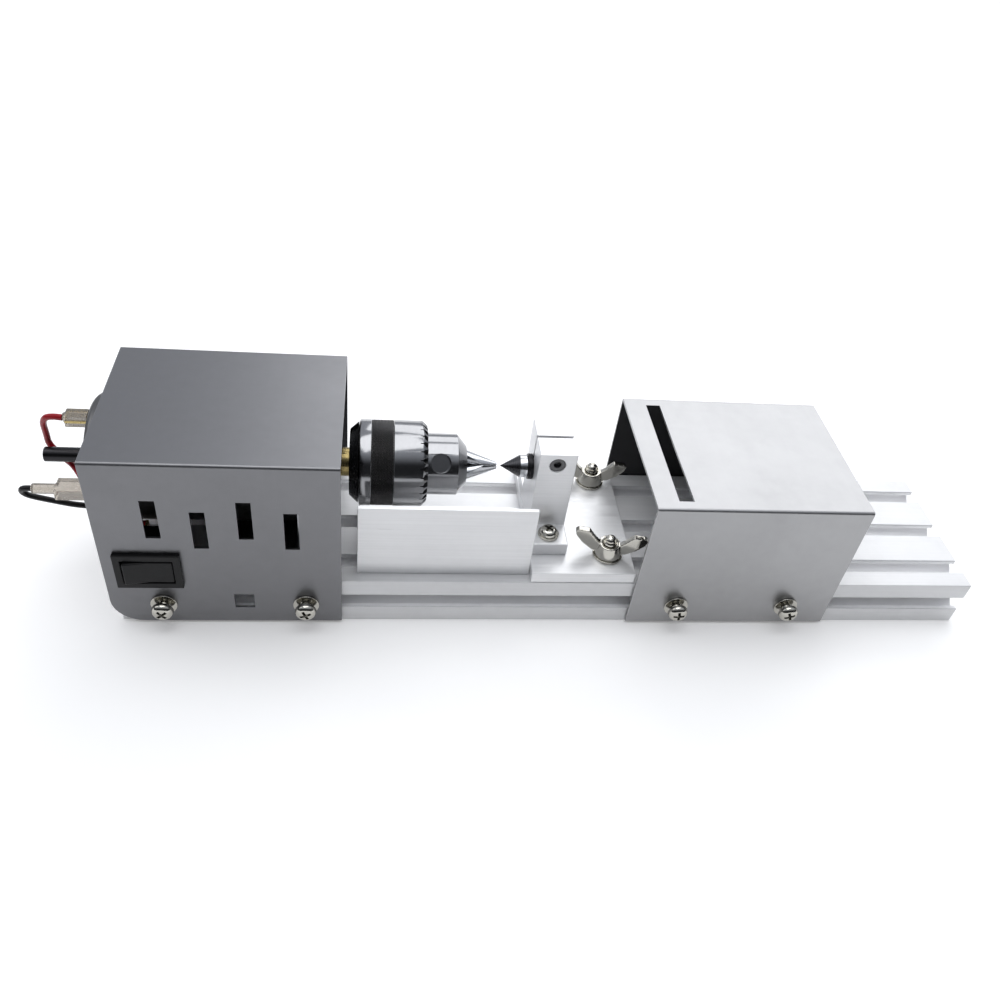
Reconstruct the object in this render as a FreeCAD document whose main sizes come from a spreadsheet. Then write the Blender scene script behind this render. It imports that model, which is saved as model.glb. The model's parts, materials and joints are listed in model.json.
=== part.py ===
"""Mini metal lathe on a slotted aluminium bed.

A motor in a folded sheet cover drives a three-jaw key chuck.  A tailstock with a
live centre slides in the bed's slots, a tool rest stands in front of the work, and
a second folded cover makes a small saw table at the free end.

Millimetres.  Origin: centre of the bed's underside.  +X runs from the headstock to
the saw table, -Y is the operator's side, +Z is up.
"""
import FreeCAD, Part
import math
import os
import re
import Sketcher
from FreeCAD import Placement, Rotation, Vector

doc = FreeCAD.newDocument("mini_lathe")

# ---------------------------------------------------------------- driving sizes
SIZES = {
    # bed: slotted extrusion
    "bed_length": 310.0,
    "bed_height": 20.0,
    "slot_pitch": 20.0,
    "slot_mouth": 6.2,
    "slot_lip": 1.8,
    "slot_width": 11.0,
    "slot_wall": 1.4,
    "slot_depth": 6.0,
    "slot_floor": 5.4,
    "core_bore": 4.2,
    # folded covers
    "cover_metal": 1.0,
    "cover_gap": 0.4,
    "cover_lift": 1.0,
    "cover_bend": 1.1,
    "head_overhang": 2.4,
    "head_length": 77.0,
    "head_room": 1.1,
    "head_corner": 10.0,
    "head_screw_first": 17.5,
    "head_screw_pitch": 47.4,
    "vent_width": 4.6,
    "vent_height": 16.0,
    "vent_first": 18.1,
    "vent_pitch": 14.4,
    "vent_high": 48.9,
    "vent_low": 44.5,
    "window_side": 6.6,
    "window_place": 44.2,
    "window_level": 11.2,
    "saw_length": 77.0,
    "saw_top": 57.5,
    "saw_screw_first": 17.3,
    "saw_screw_pitch": 42.5,
    "saw_slot_width": 5.2,
    "saw_slot_length": 54.0,
    "saw_slot_place": 10.9,
    # rocker switch and power jack
    "switch_place": 14.7,
    "switch_level": 26.6,
    "switch_width": 19.2,
    "switch_height": 13.0,
    "switch_rim": 1.0,
    "switch_rim_depth": 1.6,
    "switch_depth": 13.0,
    "rocker_width": 15.6,
    "rocker_height": 9.4,
    "rocker_travel": 10.0,
    "rocker_pivot": 2.5,
    "rocker_play": 0.4,
    "jack_place": 15.0,
    "jack_level": 26.0,
    "jack_radius": 5.6,
    "jack_bore": 2.8,
    "jack_depth": 11.0,
    "jack_ring": 1.2,
    # fasteners
    "screw_radius": 2.0,
    "screw_head_radius": 3.6,
    "screw_head_height": 2.6,
    "screw_stand_off": 2.2,
    "washer_radius": 4.4,
    "washer_metal": 0.9,
    "nut_length": 12.0,
    "nut_play": 0.25,
    "hole_play": 0.2,
    "thread_play": 0.02,
    # motor
    "motor_radius": 21.0,
    "motor_lift": 7.5,
    "motor_overhang": 3.4,
    "cap_metal": 5.0,
    "cap_boss_radius": 8.0,
    "cap_boss_length": 3.0,
    "can_length": 61.0,
    "can_wall": 1.5,
    "can_front": 3.0,
    "can_boss_radius": 8.7,
    "can_boss_length": 3.6,
    "shaft_radius": 2.5,
    "shaft_rear": 17.8,
    "bearing_radius": 6.5,
    "bearing_width": 4.0,
    "glue_gap": 0.2,
    "magnet_metal": 4.0,
    "magnet_inset": 3.0,
    "brush_room": 13.0,
    "rotor_gap": 0.6,
    "rotor_inset": 3.0,
    "winding_drop": 2.4,
    "winding_length": 6.0,
    "commutator_radius": 5.5,
    "commutator_length": 9.0,
    "brush_width": 4.0,
    "terminal_radius": 15.5,
    "terminal_length": 8.0,
    "terminal_width": 4.8,
    "terminal_metal": 0.8,
    "bracket_metal": 4.0,
    "bracket_edge": 6.0,
    "bracket_drop": 0.1,
    "bracket_foot": 30.0,
    "bracket_screw": 14.5,
    "running_play": 0.05,
    # coupling and chuck
    "coupling_gap": 3.0,
    "coupling_radius": 5.0,
    "coupling_grip": 9.2,
    "taper_length": 13.5,
    "taper_radius": 5.0,
    "taper_tip": 4.6,
    "shaft_in_taper": 6.0,
    "grub_radius": 1.5,
    "sleeve_step": 1.6,
    "sleeve_wall": 2.6,
    "sleeve_play": 0.1,
    "sleeve_start": 3.3,
    "sleeve_length": 23.2,
    "sleeve_bevel": 1.8,
    "flange_small": 11.5,
    "flange_step": 1.8,
    "nose_radius": 10.8,
    "nose_end": 37.0,
    "nose_bevel": 3.3,
    "nose_tip_radius": 6.8,
    "ring_start": 19.6,
    "ring_width": 4.0,
    "groove_radius": 9.0,
    "jaw_radius": 2.6,
    "jaw_angle": 12.0,
    "jaw_tip_offset": 1.0,
    "jaw_tip_radius": 1.2,
    "jaw_tip_slope": 0.38,
    "jaw_reach": 11.0,
    "jaw_inset": 1.5,
    "jaw_split": 0.15,
    "jaw_play": 0.2,
    "jaw_travel": 10.0,
    "work_bore": 3.2,
    "key_bore": 3.4,
    "key_inset": 6.0,
    "key_floor": 7.8,
    "chuck_turn": 49.0,
    # tool rest
    "rest_place": 3.3,
    "rest_length": 60.3,
    "rest_metal": 1.6,
    "rest_height": 30.4,
    "rest_front": 26.1,
    "rest_foot": 33.3,
    "rest_screw_inset": 12.0,
    # tailstock
    "tip_gap": 1.4,
    "point_length": 6.9,
    "point_radius": 4.0,
    "point_band": 2.7,
    "collar_length": 1.8,
    "collar_radius": 4.6,
    "shank_radius": 4.0,
    "shank_length": 12.0,
    "pin_radius": 1.5,
    "pin_length": 6.0,
    "pin_bearing_radius": 3.0,
    "pin_bearing_width": 2.2,
    "block_length": 13.2,
    "block_width": 20.6,
    "block_rise": 13.7,
    "block_slit": 1.0,
    "block_foot_half": 20.5,
    "block_foot_metal": 5.1,
    "block_screw": 15.4,
    "block_screw_radius": 1.5,
    "block_screw_head": 3.2,
    "clamp_rise": 9.1,
    "clamp_radius": 1.5,
    "clamp_head": 2.75,
    "clamp_head_depth": 3.0,
    "plate_lead": 0.2,
    "plate_length": 37.6,
    "plate_width": 59.6,
    "plate_metal": 4.5,
    "slide_play": 0.1,
    "wing_place": 28.6,
    "wing_bolt_radius": 2.5,
    "wing_bolt_top": 9.4,
    "wing_washer_radius": 5.4,
    "wing_hub_radius": 4.9,
    "wing_hub_tip": 3.9,
    "wing_hub_height": 5.0,
    "wing_span": 26.0,
    "wing_metal": 2.2,
    "wing_rise": 10.0,
    "wing_front_turn": -12.0,
    "wing_rear_turn": -8.0,
    "saw_gap": 0.3,
    # leads
    "lead_radius": 1.05,
    "connector_width": 7.6,
    "connector_height": 4.2,
    "connector_barrel": 1.9,
    "top_connector_length": 7.0,
    "low_connector_length": 16.0,
    "low_barrel_length": 8.0,
    "connector_gap": 1.2,
}

# Sizes that follow from the ones above.
SUMS = {
    "bed_width": "3 * slot_pitch",
    "spindle_height": "bed_height + motor_lift + motor_radius",
    "head_top": "spindle_height + motor_radius + head_room + cover_metal",
    "magnet_length": "can_length - can_front - magnet_inset - brush_room",
    "rotor_length": "magnet_length - 2 * rotor_inset",
    "rotor_radius": "motor_radius - can_wall - magnet_metal - rotor_gap",
    "winding_radius": "rotor_radius - winding_drop",
    "bracket_width": "2 * (slot_pitch + bracket_edge)",
    "bracket_top": "spindle_height + motor_radius - bracket_drop",
    "sleeve_bore": "nose_radius + sleeve_step",
    "sleeve_radius": "sleeve_bore + sleeve_wall",
    "flange_big": "sleeve_bore + flange_step",
    "nose_tip": "nose_end + nose_bevel",
    "chuck_length": "nose_tip + jaw_reach",
    "jaw_length": "chuck_length - ring_start - jaw_inset",
    "key_place": "nose_end - key_inset",
    "block_top": "spindle_height + block_rise",
    "clamp_level": "spindle_height + clamp_rise",
}

sheet = doc.addObject("Spreadsheet::Sheet", "dims")
for row, (name, size) in enumerate(SIZES.items(), start=1):
    sheet.set(f"A{row}", name)
    sheet.set(f"B{row}", str(size))
    sheet.setAlias(f"B{row}", name)
doc.recompute()


# ---------------------------------------------------------------- helpers
def bound(text):
    """The text of a formula with its sums written out and each size pointing at its cell."""
    def cell(match):
        word = match[0]
        if word in SUMS:
            return f"({bound(SUMS[word])})"
        return f"dims.{word}" if word in SIZES else word

    return re.sub(r"[a-z][a-z_]+", cell, str(text))


def value(text):
    """The number that a formula has now."""
    return float(sheet.evalExpression(bound(text)))


def bind(thing, **formulas):
    for prop, formula in formulas.items():
        thing.setExpression(prop, bound(formula))


ALONG = {
    "x": Rotation(Vector(0, 1, 0), 90),
    "y": Rotation(Vector(1, 0, 0), -90),
    "-y": Rotation(Vector(1, 0, 0), 90),
    "z": Rotation(),
}


def place(thing, at, turn=None):
    """Turn a thing about its own origin and tie that origin to three formulas."""
    thing.Placement = Placement(Vector(), turn or Rotation())
    for letter, formula in zip("xyz", at):
        thing.setExpression(f"Placement.Base.{letter}", bound(formula))
    return thing


def named(kind, label):
    thing = doc.addObject(kind, label)
    thing.Label = label
    return thing


def box(label, size, corner):
    thing = named("Part::Box", label)
    bind(thing, Length=size[0], Width=size[1], Height=size[2])
    return place(thing, corner)


def rod(label, radius, length, start, along="z"):
    thing = named("Part::Cylinder", label)
    bind(thing, Radius=radius, Height=length)
    return place(thing, start, ALONG[along])


def cone(label, radius_one, radius_two, length, start, along="z"):
    thing = named("Part::Cone", label)
    bind(thing, Radius1=radius_one, Radius2=radius_two, Height=length)
    return place(thing, start, ALONG[along])


def fuse(label, pieces):
    thing = named("Part::MultiFuse", label)
    thing.Shapes = pieces
    return thing


def common(label, pieces):
    thing = named("Part::MultiCommon", label)
    thing.Shapes = pieces
    return thing


def cut(label, base, tools):
    thing = named("Part::Cut", label)
    thing.Base = base
    thing.Tool = tools[0] if len(tools) == 1 else fuse(label + "_tools", tools)
    return thing


def group(label, pieces):
    """Identical pieces that stay separate solids under one name."""
    thing = named("Part::Compound", label)
    thing.Links = pieces
    return thing


def outline(body, plane, points, label):
    """A closed sketch whose corners are tied to formulas, on one of the body's planes."""
    sketch = body.newObject("Sketcher::SketchObject", label)
    support = [item for item in body.Origin.OriginFeatures if item.Role == plane][0]
    sketch.AttachmentSupport = [(support, "")]
    sketch.MapMode = "FlatFace"
    corners = [Vector(value(across), value(up), 0) for across, up in points]
    count = len(corners)
    for i in range(count):
        sketch.addGeometry(Part.LineSegment(corners[i], corners[(i + 1) % count]), False)
    for i in range(count):
        sketch.addConstraint(Sketcher.Constraint("Coincident", i, 2, (i + 1) % count, 1))
    for i, (across, up) in enumerate(points):
        for kind, formula, now in (("DistanceX", across, corners[i].x), ("DistanceY", up, corners[i].y)):
            tie = sketch.addConstraint(Sketcher.Constraint(kind, -1, 1, i, 1, now))
            sketch.setExpression(f"Constraints[{tie}]", bound(formula))
    return sketch


def padded(label, plane, points, length, at, turn=None, midplane=False):
    """A body made by padding one outline."""
    body = named("PartDesign::Body", label)
    pad = body.newObject("PartDesign::Pad", label + "_pad")
    pad.Profile = outline(body, plane, points, label + "_outline")
    pad.Midplane = midplane
    bind(pad, Length=length)
    body.Tip = pad
    return place(body, at, turn)


def turned(label, points, at):
    """A body turned about its own X axis from points of (place along X, radius)."""
    body = named("PartDesign::Body", label)
    sketch = outline(body, "XY_Plane", points, label + "_outline")
    revolution = body.newObject("PartDesign::Revolution", label + "_turning")
    revolution.Profile = sketch
    revolution.ReferenceAxis = (sketch, ["H_Axis"])
    revolution.Angle = 360
    body.Tip = revolution
    return place(body, at)


def fillet(label, base, radius, chosen):
    """Round the edges of a base that a test picks out, limited by nothing but its radius."""
    doc.recompute()
    thing = named("Part::Fillet", label)
    thing.Base = base
    size = value(radius)
    picks = [i for i, edge in enumerate(base.Shape.Edges, start=1) if chosen(edge)]
    thing.Edges = [(i, size, size) for i in picks]
    return thing


def runs_along(edge, axis):
    """True for a straight edge that lies along an axis."""
    if edge.Curve.TypeId != "Part::GeomLine":
        return False
    return abs(edge.tangentAt(edge.FirstParameter).dot(axis)) > 0.999


# ---------------------------------------------------------------- places that pieces share
HALF_BED = "(bed_width / 2)"
SIDE_SLOT = "(bed_height / 2)"
HEAD_LEFT = "(-bed_length / 2 - head_overhang)"
COVER_INSIDE = f"({HALF_BED} + cover_gap)"
COVER_OUTSIDE = f"({COVER_INSIDE} + cover_metal)"
MOTOR_REAR = f"({HEAD_LEFT} - motor_overhang)"
CAN_REAR = f"({MOTOR_REAR} + cap_metal)"
MOTOR_FRONT = f"({CAN_REAR} + can_length)"
BRACKET_FACE = f"({MOTOR_FRONT} + bracket_metal)"
COUPLING_REAR = f"({BRACKET_FACE} + coupling_gap)"
CHUCK_REAR = f"({COUPLING_REAR} + coupling_grip)"
JAW_TIP = f"({CHUCK_REAR} + chuck_length)"
SHAFT_END = f"({CHUCK_REAR} + shaft_in_taper)"
SHAFT_START = f"({MOTOR_REAR} - shaft_rear)"
BAND_START = f"({JAW_TIP} + tip_gap + point_length)"
COLLAR_START = f"({BAND_START} + point_band)"
BLOCK_LEFT = f"({COLLAR_START} + collar_length + slide_play)"
BLOCK_MIDDLE = f"({BLOCK_LEFT} + block_length / 2)"
PLATE_LEFT = f"({BLOCK_LEFT} - plate_lead)"
PLATE_UNDER = "(bed_height + slide_play)"
PLATE_TOP = f"({PLATE_UNDER} + plate_metal)"
WING_X = f"({PLATE_LEFT} + wing_place)"
SAW_LEFT = f"({PLATE_LEFT} + plate_length + saw_gap)"
REST_LEFT = f"({CHUCK_REAR} + rest_place)"
REST_UNDER = "(bed_height + slide_play)"
TOP_LIP = "(bed_height - slot_lip)"


# ---------------------------------------------------------------- bed
def bed():
    """Extrusion with a row of tee slots above and below and one slot in each long side."""
    body = named("PartDesign::Body", "bed_extrusion")
    blank = [
        (f"-{HALF_BED}", "0"), (HALF_BED, "0"),
        (HALF_BED, "bed_height"), (f"-{HALF_BED}", "bed_height"),
    ]
    pad = body.newObject("PartDesign::Pad", "bed_blank")
    pad.Profile = outline(body, "YZ_Plane", blank, "bed_section")
    bind(pad, Length="bed_length")
    pad.Midplane = True
    # A slot's corners as (half width, depth from the face it opens in).
    half = [
        ("slot_mouth / 2", "0"), ("slot_mouth / 2", "slot_lip"),
        ("slot_width / 2", "slot_lip"), ("slot_width / 2", "slot_lip + slot_wall"),
        ("slot_floor / 2", "slot_depth"),
    ]
    whole = half + [(f"-({wide})", deep) for wide, deep in reversed(half)]
    mouths = []
    for step in (-1, 0, 1):
        middle = f"{step} * slot_pitch"
        mouths.append([(f"{middle} + {wide}", f"bed_height - ({deep})") for wide, deep in whole])
        mouths.append([(f"{middle} + {wide}", deep) for wide, deep in whole])
    for side in (-1, 1):
        mouths.append([
            (f"{side} * ({HALF_BED} - ({deep}))", f"{SIDE_SLOT} + {wide}") for wide, deep in whole
        ])
    feature = pad
    for number, corners in enumerate(mouths, start=1):
        doc.recompute()
        before = feature.Shape.Volume
        sketch = outline(body, "YZ_Plane", corners, f"slot_section_{number}")
        feature = body.newObject("PartDesign::Pocket", f"slot_{number}")
        feature.Profile = sketch
        feature.Type = "ThroughAll"
        feature.Midplane = True
        body.Tip = feature
        doc.recompute()
        if feature.Shape.Volume >= before:
            raise SystemExit(f"slot {number} removed nothing")
    place(body, ("0", "0", "0"))
    body.Label = "bed_profile"
    bores = [
        rod(f"core_bore_{step + 2}", "core_bore / 2", "bed_length", ("-bed_length / 2",
            f"{step} * slot_pitch", SIDE_SLOT), "x")
        for step in (-1, 0, 1)
    ]
    return cut("bed_extrusion", body, bores)


# ---------------------------------------------------------------- fasteners
def pan_screw(label, at, along, shank, radius="screw_radius", head="screw_head_radius"):
    """Pan-head screw: its head's underside is at the given place, its shank points back."""
    height = f"({head} * screw_head_height / screw_head_radius)"
    cap = rod(label + "_head", head, height, at, along)
    letter = along[-1]
    sign = "-1" if along.startswith("-") else "1"
    start = list(at)
    axis = "xyz".index(letter)
    start[axis] = f"{at[axis]} - {sign} * ({shank})"
    stem = rod(label + "_stem", radius, f"{shank} + {height} / 2", start, along)
    return fuse(label, [cap, stem])


def washer(label, at, along, outer="washer_radius", inner="screw_radius + hole_play"):
    disc = rod(label + "_disc", outer, "washer_metal", at, along)
    hole = rod(label + "_hole", inner, "washer_metal", at, along)
    return cut(label, disc, [hole])


def tee_nut(label, x, y, z, faces, bore="screw_radius + thread_play"):
    """Nut that fills a slot behind its lips; faces is the way the slot opens."""
    wide = "(slot_width / 2 - nut_play)"
    narrow = "(slot_floor / 2 - nut_play)"
    profile = [
        (f"-{wide}", "nut_play / 2"), (wide, "nut_play / 2"), (wide, "slot_wall"),
        (narrow, "slot_depth - slot_lip - nut_play"), (f"-{narrow}", "slot_depth - slot_lip - nut_play"),
        (f"-{wide}", "slot_wall"),
    ]
    # The profile's second number is the depth behind the lips, so it is laid pointing inwards.
    turns = {
        "up": Rotation(Vector(1, 0, 0), 180),
        "front": Rotation(Vector(1, 0, 0), -90),
        "back": Rotation(Vector(1, 0, 0), 90),
    }
    blank = padded(label + "_blank", "YZ_Plane", profile, "nut_length", (x, y, z), turns[faces], True)
    depth = "slot_depth"
    drills = {
        "up": ((x, y, f"{z} - {depth}"), "z"),
        "front": ((x, y, z), "y"),
        "back": ((x, f"{y} - {depth}", z), "y"),
    }
    start, along = drills[faces]
    drill = rod(label + "_bore", bore, f"{depth} + 1", start, along)
    return cut(label, blank, [drill])


def side_fasteners(prefix, places):
    """The screws, washers and nuts that hold a cover to both side slots."""
    screws, washers, nuts = [], [], []
    grip = "(screw_stand_off + washer_metal + cover_metal + cover_gap + slot_depth - 0.5)"
    for number, x in enumerate(places, start=1):
        for side, along, faces in (("front", "-y", "front"), ("rear", "y", "back")):
            sign = "-1" if side == "front" else "1"
            tag = f"{prefix}_{side}_{number}"
            outside = f"{sign} * {COVER_OUTSIDE}"
            head = f"{sign} * ({COVER_OUTSIDE} + washer_metal + screw_stand_off)"
            screws.append(pan_screw(tag + "_screw", (x, head, SIDE_SLOT), along, grip))
            washers.append(washer(tag + "_washer", (x, outside, SIDE_SLOT), along))
            nuts.append(tee_nut(tag + "_nut", x, f"{sign} * ({HALF_BED} - slot_lip)", SIDE_SLOT, faces))
    return [
        group(f"{prefix}_cover_screws", screws),
        group(f"{prefix}_cover_washers", washers),
        group(f"{prefix}_cover_tee_nuts", nuts),
    ]


# ---------------------------------------------------------------- covers
def folded_cover(label, left, length, top, screw_places, windows):
    """Inverted channel of sheet metal: outline, bends, then its openings."""
    inner_top = f"({top} - cover_metal)"
    section = [
        (f"-{COVER_OUTSIDE}", "cover_lift"), (f"-{COVER_INSIDE}", "cover_lift"),
        (f"-{COVER_INSIDE}", inner_top), (COVER_INSIDE, inner_top),
        (COVER_INSIDE, "cover_lift"), (COVER_OUTSIDE, "cover_lift"),
        (COVER_OUTSIDE, top), (f"-{COVER_OUTSIDE}", top),
    ]
    channel = padded(label + "_channel", "YZ_Plane", section, length, (left, "0", "0"))
    outer = value(COVER_OUTSIDE)
    peak = value(top)

    def outer_bend(edge):
        middle = edge.BoundBox.Center
        off_corner = max(abs(abs(middle.y) - outer), abs(middle.z - peak))
        return runs_along(edge, Vector(1, 0, 0)) and off_corner < 0.01

    bent = fillet(label + "_bent", channel, "cover_bend", outer_bend)
    drills = [
        rod(f"{label}_hole_{number}", "screw_radius + hole_play", f"2 * {COVER_OUTSIDE} + 2",
            (x, f"-{COVER_OUTSIDE} - 1", SIDE_SLOT), "y")
        for number, x in enumerate(screw_places, start=1)
    ]
    return cut(label, bent, drills + windows)


def headstock():
    screw_places = [
        f"{HEAD_LEFT} + head_screw_first",
        f"{HEAD_LEFT} + head_screw_first + head_screw_pitch",
    ]
    wall = f"-{COVER_OUTSIDE} - 1"
    through = "cover_metal + 2"
    windows = []
    for number in range(4):
        level = "vent_high" if number % 2 == 0 else "vent_low"
        windows.append(box(
            f"vent_{number + 1}", ("vent_width", through, "vent_height"),
            (f"{HEAD_LEFT} + vent_first + {number} * vent_pitch - vent_width / 2", wall,
             f"{level} - vent_height / 2")))
    windows.append(box(
        "switch_opening", ("switch_width + hole_play", through, "switch_height + hole_play"),
        (f"{HEAD_LEFT} + switch_place - (switch_width + hole_play) / 2", wall,
         "switch_level - (switch_height + hole_play) / 2")))
    windows.append(box(
        "slot_window", ("window_side", through, "window_side"),
        (f"{HEAD_LEFT} + window_place - window_side / 2", wall, "window_level - window_side / 2")))
    windows.append(rod(
        "jack_opening", "jack_radius - 1.4", through,
        (f"{HEAD_LEFT} + jack_place", f"{COVER_INSIDE} - 1", "jack_level"), "y"))
    windows.append(corner_trim())
    cover = folded_cover("headstock_cover", HEAD_LEFT, "head_length", "head_top", screw_places, windows)
    return [cover] + side_fasteners("headstock", screw_places)


def corner_trim():
    """What the large radius takes off the lower left corner of both side walls."""
    span = f"2 * {COVER_OUTSIDE} + 2"
    block = box("corner_block", ("head_corner + 1", span, "head_corner + 1"),
                (f"{HEAD_LEFT} - 1", f"-{COVER_OUTSIDE} - 1", "cover_lift - 1"))
    curve = rod("corner_curve", "head_corner", span,
                (f"{HEAD_LEFT} + head_corner", f"-{COVER_OUTSIDE} - 1", "cover_lift + head_corner"), "y")
    return cut("corner_trim", block, [curve])


def saw_table():
    screw_places = [
        f"{SAW_LEFT} + saw_screw_first",
        f"{SAW_LEFT} + saw_screw_first + saw_screw_pitch",
    ]
    blade = box("blade_slot", ("saw_slot_width", "saw_slot_length", "cover_metal + 2"),
                (f"{SAW_LEFT} + saw_slot_place - saw_slot_width / 2", "-saw_slot_length / 2",
                 "saw_top - cover_metal - 1"))
    cover = folded_cover("saw_table_cover", SAW_LEFT, "saw_length", "saw_top", screw_places, [blade])
    return [cover] + side_fasteners("saw_table", screw_places)


# ---------------------------------------------------------------- switch and power jack
def rocker_switch():
    middle = f"({HEAD_LEFT} + switch_place)"
    back = f"(-{COVER_INSIDE} + switch_depth)"
    face = f"(-{COVER_OUTSIDE} - switch_rim_depth)"
    rim_width = "(switch_width + 2 * switch_rim)"
    rim_height = "(switch_height + 2 * switch_rim)"
    rim = box("switch_rim_block", (rim_width, "switch_rim_depth", rim_height),
              (f"{middle} - {rim_width} / 2", face, f"switch_level - {rim_height} / 2"))
    shell = box("switch_shell", ("switch_width", f"{back} + {COVER_OUTSIDE}", "switch_height"),
                (f"{middle} - switch_width / 2", f"-{COVER_OUTSIDE}", "switch_level - switch_height / 2"))
    mouth_width = "(rocker_width + 2 * rocker_play)"
    mouth_height = "(rocker_height + 2 * rocker_play)"
    mouth = box("switch_mouth", (mouth_width, "switch_rim_depth + cover_metal + 7", mouth_height),
                (f"{middle} - {mouth_width} / 2", f"{face} - 1", f"switch_level - {mouth_height} / 2"))
    housing = cut("switch_housing", fuse("switch_body", [rim, shell]), [mouth])

    # The rocker is a shallow vee that rests tipped about its pivot by half its travel.
    half = "(rocker_width / 2)"
    lean = "(rocker_width / 2 * tan(rocker_travel / 2))"
    front = "-rocker_pivot"
    paddle = padded("switch_rocker", "XY_Plane", [
        (f"-{half}", f"{front} - {lean}"), ("0", front), (half, f"{front} - {lean}"),
        (half, f"{front} + 2.2"), (f"{half} - 2.4", f"{front} + 4.2"), (f"-{half} + 2.4", f"{front} + 4.2"),
        (f"-{half}", f"{front} + 2.2"),
    ], "rocker_height", (middle, f"{face} + rocker_pivot", "switch_level - rocker_height / 2"),
        Rotation(Vector(0, 0, 1), value("rocker_travel / 2")))

    blades = [
        box(f"switch_blade_{number}", ("terminal_metal", "7", "terminal_width"),
            (f"{middle} + {shift} - terminal_metal / 2", back, "switch_level - terminal_width / 2"))
        for number, shift in ((1, "-4"), (2, "4"))
    ]
    return [housing, paddle, group("switch_terminals", blades)]


def power_jack():
    x = f"({HEAD_LEFT} + jack_place)"
    barrel = rod("jack_barrel", "jack_radius - 1.6", "jack_depth",
                 (x, f"{COVER_OUTSIDE} - jack_depth + 1.5", "jack_level"), "y")
    inner_nut = rod("jack_collar", "jack_radius", "3", (x, f"{COVER_INSIDE} - 3", "jack_level"), "y")
    socket = rod("jack_socket", "jack_bore", "jack_depth - 2",
                 (x, f"{COVER_OUTSIDE} - jack_depth + 3.6", "jack_level"), "y")
    body = cut("jack_body", fuse("jack_turning", [barrel, inner_nut]), [socket])
    pin = rod("jack_pin", "1", "jack_depth - 3", (x, f"{COVER_OUTSIDE} - jack_depth + 3", "jack_level"), "y")
    jack = fuse("power_jack", [body, pin])
    outside = (x, COVER_OUTSIDE, "jack_level")
    ring = rod("jack_ring", "jack_radius + 0.6", "jack_ring", outside, "y")
    clear = rod("jack_ring_bore", "jack_radius - 1.6 + thread_play", "jack_ring", outside, "y")
    return [jack, cut("power_jack_nut", ring, [clear])]


# ---------------------------------------------------------------- motor
def on_axis(x):
    return (x, "0", "spindle_height")


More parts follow.
